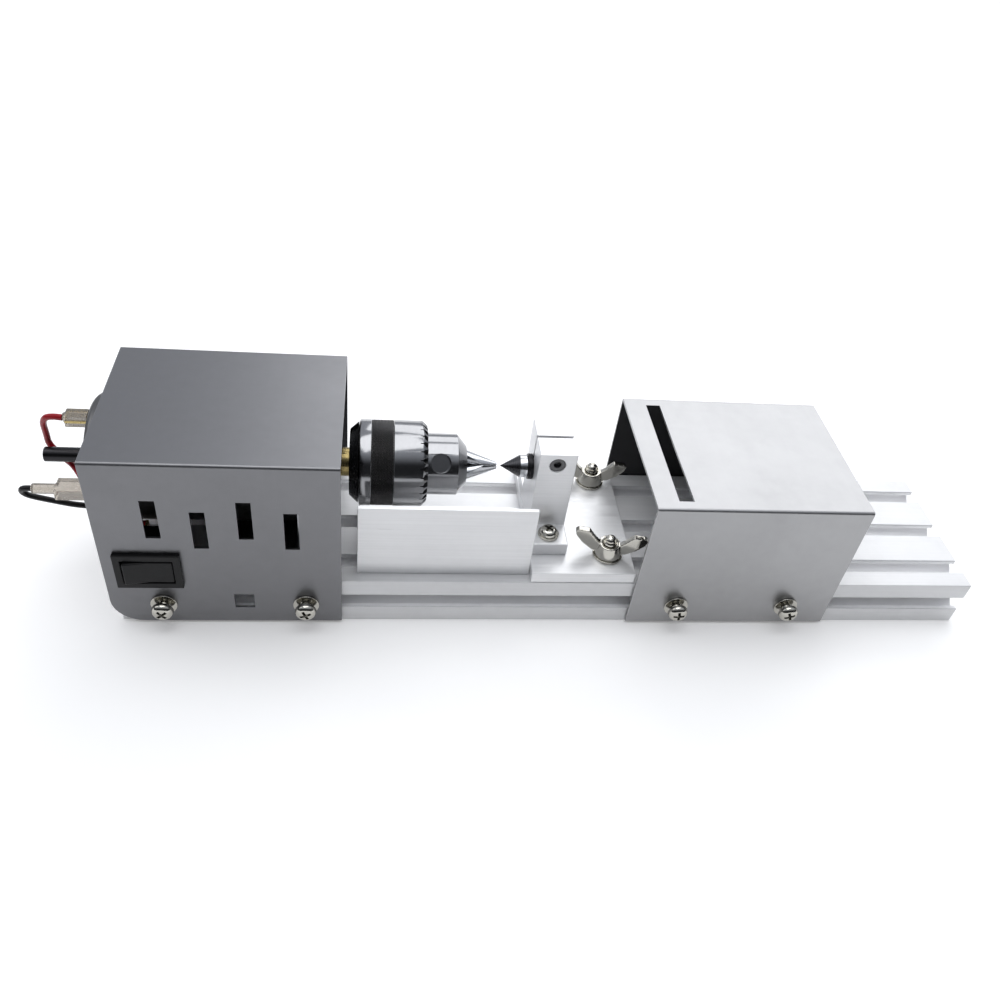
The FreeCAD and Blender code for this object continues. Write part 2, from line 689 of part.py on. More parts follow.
def motor():
    inside = "(motor_radius - can_wall)"
    bore = "(bearing_radius)"
    can = turned("motor_can", [
        ("0", "motor_radius"), ("can_length", "motor_radius"), ("can_length", "can_boss_radius"),
        ("can_length + can_boss_length", "can_boss_radius"),
        ("can_length + can_boss_length", "shaft_radius + 0.6"),
        ("can_length + can_boss_length - 1", "shaft_radius + 0.6"),
        ("can_length + can_boss_length - 1", bore), ("can_length - can_front", bore),
        ("can_length - can_front", inside), ("0", inside),
    ], on_axis(CAN_REAR))
    screws = [
        rod(f"can_tap_{side}", "screw_radius + thread_play", "6",
            (f"{MOTOR_FRONT} - can_front - 1", f"{sign} * bracket_screw", "spindle_height"), "x")
        for side, sign in (("front", "-1"), ("rear", "1"))
    ]
    can.Label = "motor_can_turning"
    can = cut("motor_can", can, screws)

    cap = turned("motor_rear_cap", [
        ("-cap_boss_length", "shaft_radius + 0.4"), ("-cap_boss_length", "cap_boss_radius"),
        ("0", "cap_boss_radius"), ("0", "motor_radius - 1"), ("1", "motor_radius"),
        ("cap_metal", "motor_radius"), ("cap_metal", bore), ("cap_metal - bearing_width - 1", bore),
        ("cap_metal - bearing_width - 1", "shaft_radius + 0.4"),
    ], on_axis(MOTOR_REAR))
    bearings = []
    for label, start in (
        ("rear_bearing", f"{MOTOR_REAR} + cap_metal - bearing_width - 0.5"),
        ("front_bearing", f"{MOTOR_FRONT} + can_boss_length - 1.2 - bearing_width"),
    ):
        ring = rod(label + "_ring", "bearing_radius - thread_play", "bearing_width", on_axis(start), "x")
        hole = rod(label + "_hole", "shaft_radius + running_play", "bearing_width", on_axis(start), "x")
        bearings.append(cut("motor_" + label, ring, [hole]))

    magnets = []
    magnet_start = f"({CAN_REAR} + brush_room)"
    for label, corner in (("front", f"-{inside} - 1"), ("rear", "9")):
        at = on_axis(magnet_start)
        ring = rod(f"magnet_{label}_ring", f"{inside} - glue_gap", "magnet_length", at, "x")
        hole = rod(f"magnet_{label}_hole", f"{inside} - magnet_metal", "magnet_length", at, "x")
        side = box(f"magnet_{label}_side", ("magnet_length", f"{inside} - 8", f"2 * {inside}"),
                   (magnet_start, corner, f"spindle_height - {inside}"))
        magnets.append(common(f"magnet_{label}", [cut(f"magnet_{label}_tube", ring, [hole]), side]))

    rotor_start = f"({magnet_start} + rotor_inset)"
    pieces = []
    for label, radius, length, start in (
        ("motor_rotor", "rotor_radius", "rotor_length", rotor_start),
        ("motor_commutator", "commutator_radius", "commutator_length",
         f"{rotor_start} - winding_length - commutator_length"),
    ):
        core = rod(label + "_core", radius, length, on_axis(start), "x")
        hole = rod(label + "_bore", "shaft_radius", length, on_axis(start), "x")
        pieces.append(cut(label, core, [hole]))
    coils = []
    for side, start in (
        ("rear", f"{rotor_start} - winding_length"), ("front", f"{rotor_start} + rotor_length"),
    ):
        core = rod(f"winding_{side}_core", "winding_radius", "winding_length", on_axis(start), "x")
        hole = rod(f"winding_{side}_bore", "shaft_radius", "winding_length", on_axis(start), "x")
        coils.append(cut(f"winding_{side}", core, [hole]))
    pieces.append(group("motor_windings", coils))

    brush_start = f"{rotor_start} - winding_length - commutator_length / 2 - brush_width / 2"
    reach = f"({inside} - glue_gap - commutator_radius - 0.6)"
    brushes = [
        box(f"brush_{side}", ("brush_width", reach, "brush_width"), (brush_start, corner,
            "spindle_height - brush_width / 2"))
        for side, corner in (("front", f"-{inside} + glue_gap + 0.1"), ("rear", "commutator_radius + 0.5"))
    ]
    shaft = rod("motor_shaft", "shaft_radius", f"{SHAFT_END} - {SHAFT_START}", on_axis(SHAFT_START), "x")
    tabs = [
        box(f"motor_tab_{side}", ("terminal_length", "terminal_width", "terminal_metal"),
            (f"{MOTOR_REAR} - terminal_length", "-terminal_width / 2",
             f"spindle_height + {sign} * terminal_radius - terminal_metal / 2"))
        for side, sign in (("top", "1"), ("low", "-1"))
    ]
    return [
        can, cap, *bearings, group("motor_magnets", magnets), *pieces,
        group("motor_brushes", brushes), shaft, group("motor_terminals", tabs),
    ]


def motor_bracket():
    """Angle whose upright carries the motor's front face and whose foot lies on the bed."""
    angle = padded("bracket_angle", "XZ_Plane", [
        ("0", "0"), ("-bracket_metal", "0"), ("-bracket_metal - bracket_foot", "0"),
        ("-bracket_metal - bracket_foot", "bracket_metal"), ("-bracket_metal", "bracket_metal"),
        ("-bracket_metal", "bracket_top - bed_height"), ("0", "bracket_top - bed_height"),
    ], "bracket_width", (BRACKET_FACE, "0", "bed_height"), None, True)
    foot_x = f"({BRACKET_FACE} - bracket_metal - bracket_foot / 2)"
    tools = [rod("bracket_boss_hole", "can_boss_radius + hole_play", "bracket_metal + 2",
                 on_axis(f"{MOTOR_FRONT} - 1"), "x")]
    face_screws, foot_screws, nuts = [], [], []
    for side, sign in (("front", "-1"), ("rear", "1")):
        y = f"{sign} * bracket_screw"
        tools.append(rod(f"bracket_hole_{side}", "screw_radius + hole_play", "bracket_metal + 2",
                         (f"{MOTOR_FRONT} - 1", y, "spindle_height"), "x"))
        face_screws.append(pan_screw(f"motor_screw_{side}", (BRACKET_FACE, y, "spindle_height"), "x",
                                     "(bracket_metal + can_front - 0.5)"))
        y = f"{sign} * slot_pitch"
        tools.append(rod(f"bracket_slot_hole_{side}", "screw_radius + hole_play", "bracket_metal + 2",
                         (foot_x, y, "bed_height - 1"), "z"))
        foot_screws.append(pan_screw(f"bracket_screw_{side}", (foot_x, y, "bed_height + bracket_metal"), "z",
                                     "(bracket_metal + slot_depth - 0.6)"))
        nuts.append(tee_nut(f"bracket_nut_{side}", foot_x, y, TOP_LIP, "up"))
    return [
        cut("motor_bracket", angle, tools), group("motor_mounting_screws", face_screws),
        group("bracket_screws", foot_screws), group("bracket_tee_nuts", nuts),
    ]


# ---------------------------------------------------------------- coupling and chuck
def coupling():
    grip = "coupling_grip"
    hub = turned("coupling_turning", [
        ("0", "shaft_radius + thread_play"), ("0", "coupling_radius"), (f"{grip} - 0.1", "coupling_radius"),
        (f"{grip}", "taper_radius"), (f"{grip} + taper_length", "taper_tip"),
        (f"{grip} + taper_length", "0"), (f"{grip} + shaft_in_taper + 0.5", "0"),
        (f"{grip} + shaft_in_taper + 0.5", "shaft_radius + thread_play"),
    ], on_axis(COUPLING_REAR))
    x = f"({COUPLING_REAR} + coupling_grip / 2 - 1)"
    length = "(coupling_radius - shaft_radius - 0.3)"
    drills, grubs = [], []
    for side, along, start in (
        ("upper", "z", "spindle_height + shaft_radius"),
        ("lower", "z", "spindle_height - coupling_radius"),
    ):
        drills.append(rod(f"grub_hole_{side}", "grub_radius + thread_play", "coupling_radius - shaft_radius",
                          (x, "0", start), along))
        shift = "0" if side == "upper" else "0.3"
        grubs.append(rod(f"grub_{side}", "grub_radius", length, (x, "0", f"{start} + {shift}"), along))
    return [cut("spindle_coupling", hub, drills), group("coupling_set_screws", grubs)]


def spun(thing, angle):
    """Turn a piece that was made about the X axis and set it on the spindle's axis."""
    return place(thing, ("0", "0", "spindle_height"), Rotation(Vector(1, 0, 0), angle))


JAW_DEPTH = "(jaw_tip_offset + jaw_length * tan(jaw_angle))"


def jaw_rod(label, radius, length, extra):
    """Leaning cylinder whose axis reaches the tip offset at the jaws' tips."""
    thing = named("Part::Cylinder", label)
    bind(thing, Radius=radius, Height=f"({length}) / cos(jaw_angle)")
    at = (f"{JAW_TIP} - jaw_length - {extra}", "0", f"{JAW_DEPTH} + {extra} * tan(jaw_angle)")
    return place(thing, at, Rotation(Vector(0, 1, 0), 90 + value("jaw_angle")))


def chuck():
    ring_end = "(ring_start + ring_width)"
    core = turned("chuck_core", [
        ("0", "taper_radius + thread_play"), ("0", "flange_small"), ("sleeve_start - 0.3", "flange_big"),
        ("sleeve_start - 0.1", "sleeve_bore - sleeve_play"),
        ("ring_start - 0.2", "sleeve_bore - sleeve_play"), ("ring_start - 0.2", "groove_radius"),
        (f"{ring_end} + 0.2", "groove_radius"), (f"{ring_end} + 0.2", "nose_radius"),
        ("nose_end", "nose_radius"), ("nose_tip", "nose_tip_radius"), ("nose_tip", "work_bore"),
        ("taper_length + 3", "work_bore"), ("taper_length + 3", "0"), ("taper_length + 0.5", "0"),
        ("taper_length + 0.5", "taper_tip + thread_play"), ("taper_length", "taper_tip + thread_play"),
    ], on_axis(CHUCK_REAR))
    turn = value("chuck_turn")
    tools = []
    jaws = []
    for number in range(3):
        angle = turn + 60 + 120 * number
        hole = group(f"jaw_bore_{number + 1}", [jaw_rod(
            f"jaw_bore_rod_{number + 1}", "jaw_radius + jaw_play", "jaw_length + jaw_travel + 1",
            "(jaw_travel + 0.5)")])
        tools.append(spun(hole, angle))
        key = group(f"key_bore_{number + 1}", [rod(
            f"key_rod_{number + 1}", "key_bore", "nose_radius",
            (f"{CHUCK_REAR} + key_place", "0", "key_floor"))])
        tools.append(spun(key, turn + 120 * number))
        stem = jaw_rod(f"jaw_rod_{number + 1}", "jaw_radius", "jaw_length + 2", "0")
        tip = cone(f"jaw_tip_cone_{number + 1}", "jaw_tip_radius + jaw_tip_slope * (jaw_length + 3)",
                   "jaw_tip_radius", "jaw_length + 3", (f"{JAW_TIP} - jaw_length - 3", "0", "0"), "x")
        wide = "(2 * nose_radius)"
        rise = f"(jaw_split + {wide} * tan(30))"
        third = padded(f"jaw_third_{number + 1}", "YZ_Plane", [
            ("0", "jaw_split"), (wide, rise), (wide, f"2 * {wide}"),
            (f"-{wide}", f"2 * {wide}"), (f"-{wide}", rise),
        ], "jaw_length + 6", (f"{JAW_TIP} - jaw_length - 4", "0", "0"))
        jaws.append(spun(common(f"chuck_jaw_{number + 1}", [stem, tip, third]), angle))
    body = cut("chuck_body", core, tools)

    sleeve_end = "(sleeve_start + sleeve_length)"
    sleeve = turned("chuck_sleeve", [
        ("sleeve_start", "sleeve_bore"), ("sleeve_start", "sleeve_radius - 0.4"),
        ("sleeve_start + 0.4", "sleeve_radius"), (f"{sleeve_end} - sleeve_bevel", "sleeve_radius"),
        (sleeve_end, "sleeve_radius - sleeve_bevel"), (sleeve_end, "nose_radius + sleeve_play"),
        (f"{ring_end} + 0.1", "nose_radius + sleeve_play"), (f"{ring_end} + 0.1", "sleeve_bore"),
    ], on_axis(CHUCK_REAR))

    def jaw_outside(along):
        """Radius of the jaws' outer line at a place measured from the chuck's rear."""
        axis = f"jaw_tip_offset + (chuck_length - {along}) * tan(jaw_angle)"
        return f"({axis} + jaw_radius / cos(jaw_angle) + jaw_split)"

    ring = turned("chuck_nut_ring", [
        ("ring_start", jaw_outside("ring_start")), ("ring_start", "sleeve_bore - thread_play"),
        (ring_end, "sleeve_bore - thread_play"), (ring_end, jaw_outside(ring_end)),
    ], on_axis(CHUCK_REAR))
    return [body, sleeve, ring, *jaws]


# ---------------------------------------------------------------- tool rest
def tool_rest():
    angle = padded("rest_angle", "YZ_Plane", [
        ("0", "0"), ("rest_foot", "0"), ("rest_foot", "rest_metal"), ("rest_metal", "rest_metal"),
        ("rest_metal", "rest_height"), ("0", "rest_height"),
    ], "rest_length", (REST_LEFT, "-rest_front", REST_UNDER))
    holes, screws, washers, nuts = [], [], [], []
    top = f"({REST_UNDER} + rest_metal)"
    for number, x in enumerate((
        f"{REST_LEFT} + rest_screw_inset", f"{REST_LEFT} + rest_length - rest_screw_inset",
    ), start=1):
        holes.append(rod(f"rest_hole_{number}", "screw_radius + hole_play", "rest_metal + 2",
                         (x, "0", f"{REST_UNDER} - 1")))
        washers.append(washer(f"rest_washer_{number}", (x, "0", top), "z"))
        screws.append(pan_screw(f"rest_screw_{number}", (x, "0", f"{top} + washer_metal"), "z",
                                "(washer_metal + rest_metal + slide_play + slot_depth - 0.6)"))
        nuts.append(tee_nut(f"rest_nut_{number}", x, "0", TOP_LIP, "up"))
    return [
        cut("tool_rest", angle, holes), group("tool_rest_screws", screws),
        group("tool_rest_washers", washers), group("tool_rest_tee_nuts", nuts),
    ]


# ---------------------------------------------------------------- tailstock
def live_centre():
    band = "point_band"
    point = turned("centre_point", [
        ("-point_length", "0"), ("0", "point_radius"), (band, "point_radius"),
        (band, "pin_radius"), (f"{band} + pin_length", "pin_radius"), (f"{band} + pin_length", "0"),
    ], on_axis(BAND_START))
    bearing_end = "(pin_bearing_width + 0.2)"
    shank = turned("centre_shank", [
        ("0.1", "pin_bearing_radius"), ("0.1", "collar_radius"), ("collar_length", "collar_radius"),
        ("collar_length", "shank_radius"), ("collar_length + shank_length", "shank_radius"),
        ("collar_length + shank_length", "0"), ("pin_length + 0.6", "0"),
        ("pin_length + 0.6", "pin_radius + 0.2"), (bearing_end, "pin_radius + 0.2"),
        (bearing_end, "pin_bearing_radius"),
    ], on_axis(COLLAR_START))
    at = on_axis(f"{COLLAR_START} + 0.15")
    ring = rod("centre_bearing_ring", "pin_bearing_radius - thread_play", "pin_bearing_width", at, "x")
    hole = rod("centre_bearing_hole", "pin_radius + running_play", "pin_bearing_width", at, "x")
    return [point, shank, cut("centre_bearing", ring, [hole])]


def tail_block():
    """Upright and foot in one piece, bored for the centre and split above the bore."""
    half = "(block_width / 2)"
    foot_top = f"({PLATE_TOP} + block_foot_metal)"
    blank = padded("tail_blank", "YZ_Plane", [
        ("-block_foot_half", PLATE_TOP), ("block_foot_half", PLATE_TOP), ("block_foot_half", foot_top),
        (half, foot_top), (half, "block_top"), (f"-{half}", "block_top"), (f"-{half}", foot_top),
        ("-block_foot_half", foot_top),
    ], "block_length", (BLOCK_LEFT, "0", "0"))
    tools = [
        rod("centre_bore", "shank_radius + running_play", "block_length + 2",
            on_axis(f"{BLOCK_LEFT} - 1"), "x"),
        box("clamp_slit", ("block_length + 2", "block_slit", "block_top - spindle_height + 1"),
            (f"{BLOCK_LEFT} - 1", "-block_slit / 2", "spindle_height")),
        rod("clamp_head_bore", "clamp_head + running_play", "clamp_head_depth + 1",
            (BLOCK_MIDDLE, f"-{half} - 1", "clamp_level"), "y"),
        rod("clamp_bore", "clamp_radius + running_play", f"{half} + 6.5",
            (BLOCK_MIDDLE, f"-{half} + clamp_head_depth - 1", "clamp_level"), "y"),
    ]
    head = rod("clamp_head_piece", "clamp_head", "clamp_head_depth - 0.6",
               (BLOCK_MIDDLE, f"-{half} + 0.5", "clamp_level"), "y")
    stem = rod("clamp_stem", "clamp_radius", f"{half} + 5",
               (BLOCK_MIDDLE, f"-{half} + clamp_head_depth - 0.5", "clamp_level"), "y")
    socket = rod("clamp_socket", "1.3", "1.6", (BLOCK_MIDDLE, f"-{half} + 0.4", "clamp_level"), "y")
    screws, washers = [], []
    for side, sign in (("front", "-1"), ("rear", "1")):
        at = (BLOCK_MIDDLE, f"{sign} * block_screw")
        tools.append(rod(f"foot_hole_{side}", "block_screw_radius + hole_play", "block_foot_metal + 2",
                         (*at, f"{PLATE_TOP} - 1")))
        washers.append(washer(f"foot_washer_{side}", (*at, foot_top), "z", "block_screw_head + 0.6",
                              "block_screw_radius + hole_play"))
        screws.append(pan_screw(f"foot_screw_{side}", (*at, f"{foot_top} + washer_metal"), "z",
                                "(washer_metal + block_foot_metal + plate_metal - 0.4)",
                                "block_screw_radius", "block_screw_head"))
    return [
        cut("tail_block", blank, tools),
        cut("tail_clamp_screw", fuse("clamp_screw_blank", [head, stem]), [socket]),
        group("tail_block_screws", screws), group("tail_block_washers", washers),
    ]


def slide_plate():
    blank = box("plate_blank", ("plate_length", "plate_width", "plate_metal"),
                (PLATE_LEFT, "-plate_width / 2", PLATE_UNDER))
    tools = []
    for side, sign in (("front", "-1"), ("rear", "1")):
        tools.append(rod(f"plate_bolt_hole_{side}", "wing_bolt_radius + hole_play", "plate_metal + 2",
                         (WING_X, f"{sign} * slot_pitch", f"{PLATE_UNDER} - 1")))
        tools.append(rod(f"plate_tap_{side}", "block_screw_radius + thread_play", "plate_metal + 2",
                         (BLOCK_MIDDLE, f"{sign} * block_screw", f"{PLATE_UNDER} - 1")))
    return cut("slide_plate", blank, tools)


def wing_nut(label, y, turn):
    """Hub with two ears that rise outwards, made about its own axis."""
    half = "(wing_span / 2)"
    right = [
        ("wing_hub_tip - 1.5", "0.6"), ("wing_hub_radius + 0.5", "1.4"), (f"{half} - 3.2", "wing_rise - 5.2"),
        (f"{half} - 0.7", "wing_rise - 2.6"), (half, "wing_rise - 0.9"), (f"{half} - 1.2", "wing_rise"),
        (f"{half} - 3.6", "wing_rise - 0.2"), ("wing_hub_radius + 1.3", "wing_hub_height + 0.6"),
        ("wing_hub_tip - 1.5", "wing_hub_height - 0.6"),
    ]
    left = [(f"-({across})", up) for across, up in right]
    ears = [
        padded(f"{label}_ear_{side}", "XZ_Plane", points, "wing_metal", ("0", "0", "0"), None, True)
        for side, points in (("right", right), ("left", list(reversed(left))))
    ]
    hub = cone(label + "_hub", "wing_hub_radius", "wing_hub_tip", "wing_hub_height", ("0", "0", "0"))
    bore = rod(label + "_bore", "wing_bolt_radius + running_play", "wing_hub_height + 2", ("0", "0", "-1"))
    nut = cut(label, fuse(label + "_blank", [hub, *ears]), [bore])
    return place(nut, (WING_X, y, f"{PLATE_TOP} + washer_metal"), Rotation(Vector(0, 0, 1), value(turn)))


def wing_bolt(label, y):
    """Tee-headed bolt with a domed end."""
    head_half = "(slot_width / 2 - nut_play)"
    head_top = f"({TOP_LIP} - nut_play / 2)"
    head = box(label + "_head", (f"2 * {head_half}", f"2 * {head_half}", "slot_wall - 0.2"),
               (f"{WING_X} - {head_half}", f"{y} - {head_half}", f"{head_top} - slot_wall + 0.2"))
    stem_top = f"({PLATE_TOP} + washer_metal + wing_hub_height + 2)"
    stem = rod(label + "_stem", "wing_bolt_radius", f"{stem_top} - {head_top} + 0.5",
               (WING_X, y, f"{head_top} - 0.5"))
    dome = cone(label + "_dome", "wing_bolt_radius", "wing_bolt_radius * 0.6", "1.2", (WING_X, y, stem_top))
    return fuse(label, [head, stem, dome])


def tail_clamps():
    nuts = [
        wing_nut("wing_nut_front", "-slot_pitch", "wing_front_turn"),
        wing_nut("wing_nut_rear", "slot_pitch", "wing_rear_turn"),
    ]
    bolts, washers = [], []
    for side, y in (("front", "-slot_pitch"), ("rear", "slot_pitch")):
        bolts.append(wing_bolt(f"wing_bolt_{side}", y))
        washers.append(washer(f"wing_washer_{side}", (WING_X, y, PLATE_TOP), "z", "wing_washer_radius",
                              "wing_bolt_radius + hole_play"))
    return [*nuts, group("wing_bolts", bolts), group("wing_washers", washers)]


# ---------------------------------------------------------------- leads
def connectors():
    """Insulated push-on receptacles: a short one above and a long one with a barrel below."""
    pieces = []
    for label, sign, length, barrel in (
        ("red_connector", "1", "top_connector_length", "0.8"),
        ("black_connector", "-1", "low_connector_length", "low_barrel_length"),
    ):
        level = f"(spindle_height + {sign} * terminal_radius)"
        right = f"({MOTOR_REAR} - connector_gap)"
        sleeve = box(label + "_sleeve", (length, "connector_width", "connector_height"),
                     (f"{right} - {length}", "-connector_width / 2", f"{level} - connector_height / 2"))
        neck = rod(label + "_barrel", "connector_barrel", f"{barrel} + 1",
                   (f"{right} - {length} - {barrel}", "0", level), "x")
        seat_length = "(terminal_length - connector_gap + 0.1)"
        seat_width = "(terminal_width + 0.1)"
        seat_height = "(terminal_metal + 0.1)"
        seat = box(label + "_seat", (seat_length, seat_width, seat_height),
                   (f"{right} - {seat_length}", f"-{seat_width} / 2", f"{level} - {seat_height} / 2"))
        pieces.append(cut(label, fuse(label + "_blank", [sleeve, neck]), [seat]))
    return pieces


def lead(label, points):
    """Round wire along straight runs that are joined by tangent arcs."""
    radius = value("lead_radius")
    corners = [Vector(*[value(number) for number in point]) for point in points]
    edges = []
    bends = []
    start = corners[0]
    for before, corner, after in zip(corners, corners[1:], corners[2:]):
        back = (before - corner).normalize()
        ahead = (after - corner).normalize()
        half_turn = (math.pi - back.getAngle(ahead)) / 2
        reach = 0.45 * min((corner - before).Length, (after - corner).Length)
        bends.append(reach / math.tan(half_turn))
        first = corner + back * reach
        last = corner + ahead * reach
        inward = (back + ahead).normalize()
        middle = corner + inward * (bends[-1] / math.cos(half_turn) - bends[-1])
        edges.append(Part.LineSegment(start, first).toShape())
        edges.append(Part.Arc(first, middle, last).toShape())
        start = last
    edges.append(Part.LineSegment(start, corners[-1]).toShape())
    path = Part.Wire(edges)
    ring = Part.Wire(Part.makeCircle(radius, corners[0], corners[1] - corners[0]))
    tube = path.makePipeShell([ring], True, True)
    fullness = tube.Volume / (math.pi * radius ** 2 * path.Length)
    print(f"{label}: length {path.Length:.1f}, tightest bend {min(bends):.1f}, volume ratio {fullness:.4f}")
    thing = named("Part::Feature", label)
    thing.Shape = tube
    return thing


def leads():
    middle = f"({HEAD_LEFT} + switch_place)"
    blade_end = f"(-{COVER_INSIDE} + switch_depth + 7.2)"
    top = "(spindle_height + terminal_radius)"
    low = "(spindle_height - terminal_radius)"
    top_end = f"({MOTOR_REAR} - connector_gap - top_connector_length - 0.9)"
    low_end = f"({MOTOR_REAR} - connector_gap - low_connector_length - low_barrel_length - 0.1)"
    floor = "(bed_height + lead_radius + 0.6)"
    red = lead("red_lead", [
        (f"{top_end} - 0.2", "0", top),
        (f"{top_end} - 4.7", "0.8", f"{top} - 0.3"),
        (f"{top_end} - 8.7", "3", f"{top} - 5.5"),
        (f"{top_end} - 8.3", "5", f"{top} - 12.5"),
        (f"{top_end} - 4.5", "3.6", f"{top} - 19"),
        (f"{top_end} + 1", "-1.5", f"{top} - 20.5"),
        (f"{top_end} + 4.5", "-7", f"{top} - 25"),
        (f"{top_end} + 6.5", "-12", f"{floor} + 10"),
        (f"{top_end} + 12", "-14.5", f"{floor} + 4.5"),
        (f"{middle} - 9", f"{blade_end} + 0.5", "switch_level - 0.4"),
        (f"{middle} - 4.6", f"{blade_end} + 0.7", "switch_level"),
    ])
    black = lead("black_lead", [
        (low_end, "0", low),
        (f"{low_end} - 3", "0.2", low),
        (f"{low_end} - 4.4", "1.2", f"{low} - 2.4"),
        (f"{low_end} - 3", "1.9", f"{low} - 4.9"),
        (f"{low_end} + 3", "1.2", f"{low} - 6"),
        (f"{low_end} + 15", "1.5", f"{low} - 9.4"),
        (f"{low_end} + 26", "4", f"{floor} + 0.4"),
        (f"{low_end} + 37", "9", floor),
        (f"{HEAD_LEFT} + jack_place - 4", "15", "jack_level - 2.2"),
        (f"{HEAD_LEFT} + jack_place - 2", f"{COVER_OUTSIDE} - jack_depth + 1", "jack_level - 1.2"),
    ])
    supply = lead("supply_lead", [
        (f"{middle} + 4", f"{blade_end} + 0.3", "switch_level"),
        (f"{middle} + 4.4", f"{blade_end} + 5", "switch_level - 1.6"),
        (f"{middle} + 4", "3", f"{floor} + 0.8"),
        (f"{middle} + 4.5", "12", f"{floor} + 1"),
        (f"{HEAD_LEFT} + jack_place + 2.2", f"{COVER_OUTSIDE} - jack_depth + 1", "jack_level - 0.6"),
    ])
    return [red, black, supply]


# ---------------------------------------------------------------- build, check and write
NODES = [
    bed(), *headstock(), *rocker_switch(), *power_jack(), *motor(), *motor_bracket(), *coupling(), *chuck(),
    *tool_rest(), slide_plate(), *tail_block(), *live_centre(), *tail_clamps(), *saw_table(),
    *connectors(), *leads(),
]
doc.recompute()

for thing in doc.Objects:
    if "Invalid" in thing.State or "Error" in thing.State:
        raise SystemExit(f"{thing.Label} is {thing.State}")
os.makedirs("parts", exist_ok=True)
for node in NODES:
    if node.Shape.isNull() or not node.Shape.isValid():
        raise SystemExit(f"{node.Label} has no valid shape")
for node in NODES:
    node.Shape.exportStep(f"parts/{node.Label}.step")
    print(f"{node.Label}: {len(node.Shape.Solids)} solids, {node.Shape.Volume:.0f} mm3")
print(len(NODES), "nodes")
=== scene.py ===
# %% [markdown]
# # A small metal lathe
#
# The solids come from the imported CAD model: a slotted aluminium bed, a headstock with a motor under a
# folded cover, a key chuck, a tool rest, a tailstock with a live centre and a small saw table.  Blender
# adds what a machinist's eye looks for: broken edges, threads, knurling, gear teeth, grain in the
# metal, and light that shows them.  Everything is in metres and in the frame of the CAD model.

# %% Load the frame
import bmesh
import bpy
import json
import math
from mathutils import Matrix, Vector

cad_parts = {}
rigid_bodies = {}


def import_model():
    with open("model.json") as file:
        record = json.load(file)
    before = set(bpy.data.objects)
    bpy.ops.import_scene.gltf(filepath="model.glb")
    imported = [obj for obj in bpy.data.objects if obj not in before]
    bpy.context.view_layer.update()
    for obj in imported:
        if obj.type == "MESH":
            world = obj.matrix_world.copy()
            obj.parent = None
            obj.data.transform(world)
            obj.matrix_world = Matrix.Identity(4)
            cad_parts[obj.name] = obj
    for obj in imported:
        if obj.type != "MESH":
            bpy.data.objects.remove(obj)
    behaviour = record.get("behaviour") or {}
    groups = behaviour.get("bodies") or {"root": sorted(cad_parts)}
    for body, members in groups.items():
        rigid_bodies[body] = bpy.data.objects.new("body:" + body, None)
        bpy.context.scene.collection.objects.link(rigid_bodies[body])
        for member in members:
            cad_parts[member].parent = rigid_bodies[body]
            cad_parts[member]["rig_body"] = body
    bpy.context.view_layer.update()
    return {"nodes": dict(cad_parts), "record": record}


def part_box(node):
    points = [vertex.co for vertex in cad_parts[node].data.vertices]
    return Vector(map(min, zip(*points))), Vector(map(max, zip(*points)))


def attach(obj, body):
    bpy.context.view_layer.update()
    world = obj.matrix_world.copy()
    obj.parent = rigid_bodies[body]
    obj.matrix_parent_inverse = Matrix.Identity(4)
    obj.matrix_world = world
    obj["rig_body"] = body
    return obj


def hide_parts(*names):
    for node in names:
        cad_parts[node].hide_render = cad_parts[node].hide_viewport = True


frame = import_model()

NODES = frame["nodes"]
SLOT_OF = {part["node"]: part["material_slot"] for part in frame["record"]["subparts"]}
MM = 0.001
AXIS_LEVEL = (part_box("motor_shaft")[0][2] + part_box("motor_shaft")[1][2]) / 2

# %% [markdown]
# ## The camera
#
# The camera looks down at the machine from the operator's side, a little to the left of its middle.
# It is turned with three plain angles.  Matrices are multiplied from the last turn to the first, so
# the roll about the line of sight stands at the right.

# %% Camera
CAMERA_PLACE = Vector((-0.0709, -0.2452, 0.2544))
CAMERA_YAW = math.radians(10.52)
CAMERA_PITCH = math.radians(41.19)
CAMERA_ROLL = math.radians(8.2)

lens = bpy.data.cameras.new("camera")
lens.lens = 32.76
lens.sensor_width = 36.0
lens.shift_x = 0.0022
lens.shift_y = -0.0086
lens.clip_start = 0.01
camera = bpy.data.objects.new("camera", lens)
camera.matrix_world = (
    Matrix.Translation(CAMERA_PLACE)
    @ Matrix.Rotation(-CAMERA_YAW, 4, "Z")
    @ Matrix.Rotation(math.radians(90) - CAMERA_PITCH, 4, "X")
    @ Matrix.Rotation(CAMERA_ROLL, 4, "Z")
)
bpy.context.scene.collection.objects.link(camera)
bpy.context.scene.camera = camera
print("camera at", [round(x, 3) for x in CAMERA_PLACE])

# %% [markdown]
# ## Two small helpers for node trees
#
# Shaders and Geometry Nodes are both trees of nodes.  `add` makes one node, and fills each of its
# sockets with either a value or another node's output, so a tree reads from top to bottom like a recipe.


# %% Helpers for node trees
def add(tree, kind, sockets=None, **settings):
    """Make one node; a socket gets a value, or a link from another node's output."""
    made = tree.nodes.new(kind)
    for name, choice in settings.items():
        setattr(made, name, choice)
    for name, source in (sockets or {}).items():
        if isinstance(source, bpy.types.NodeSocket):
            tree.links.new(source, made.inputs[name])
        else:
            made.inputs[name].default_value = source
    return made


def calc(tree, operation, *numbers):
    """The output of one Math node."""
    return add(tree, "ShaderNodeMath", dict(enumerate(numbers)), operation=operation).outputs[0]


KINDS = {"float": "NodeSocketFloat", "int": "NodeSocketInt", "colour": "NodeSocketColor",
         "vector": "NodeSocketVector", "bool": "NodeSocketBool", "material": "NodeSocketMaterial",
         "geometry": "NodeSocketGeometry"}


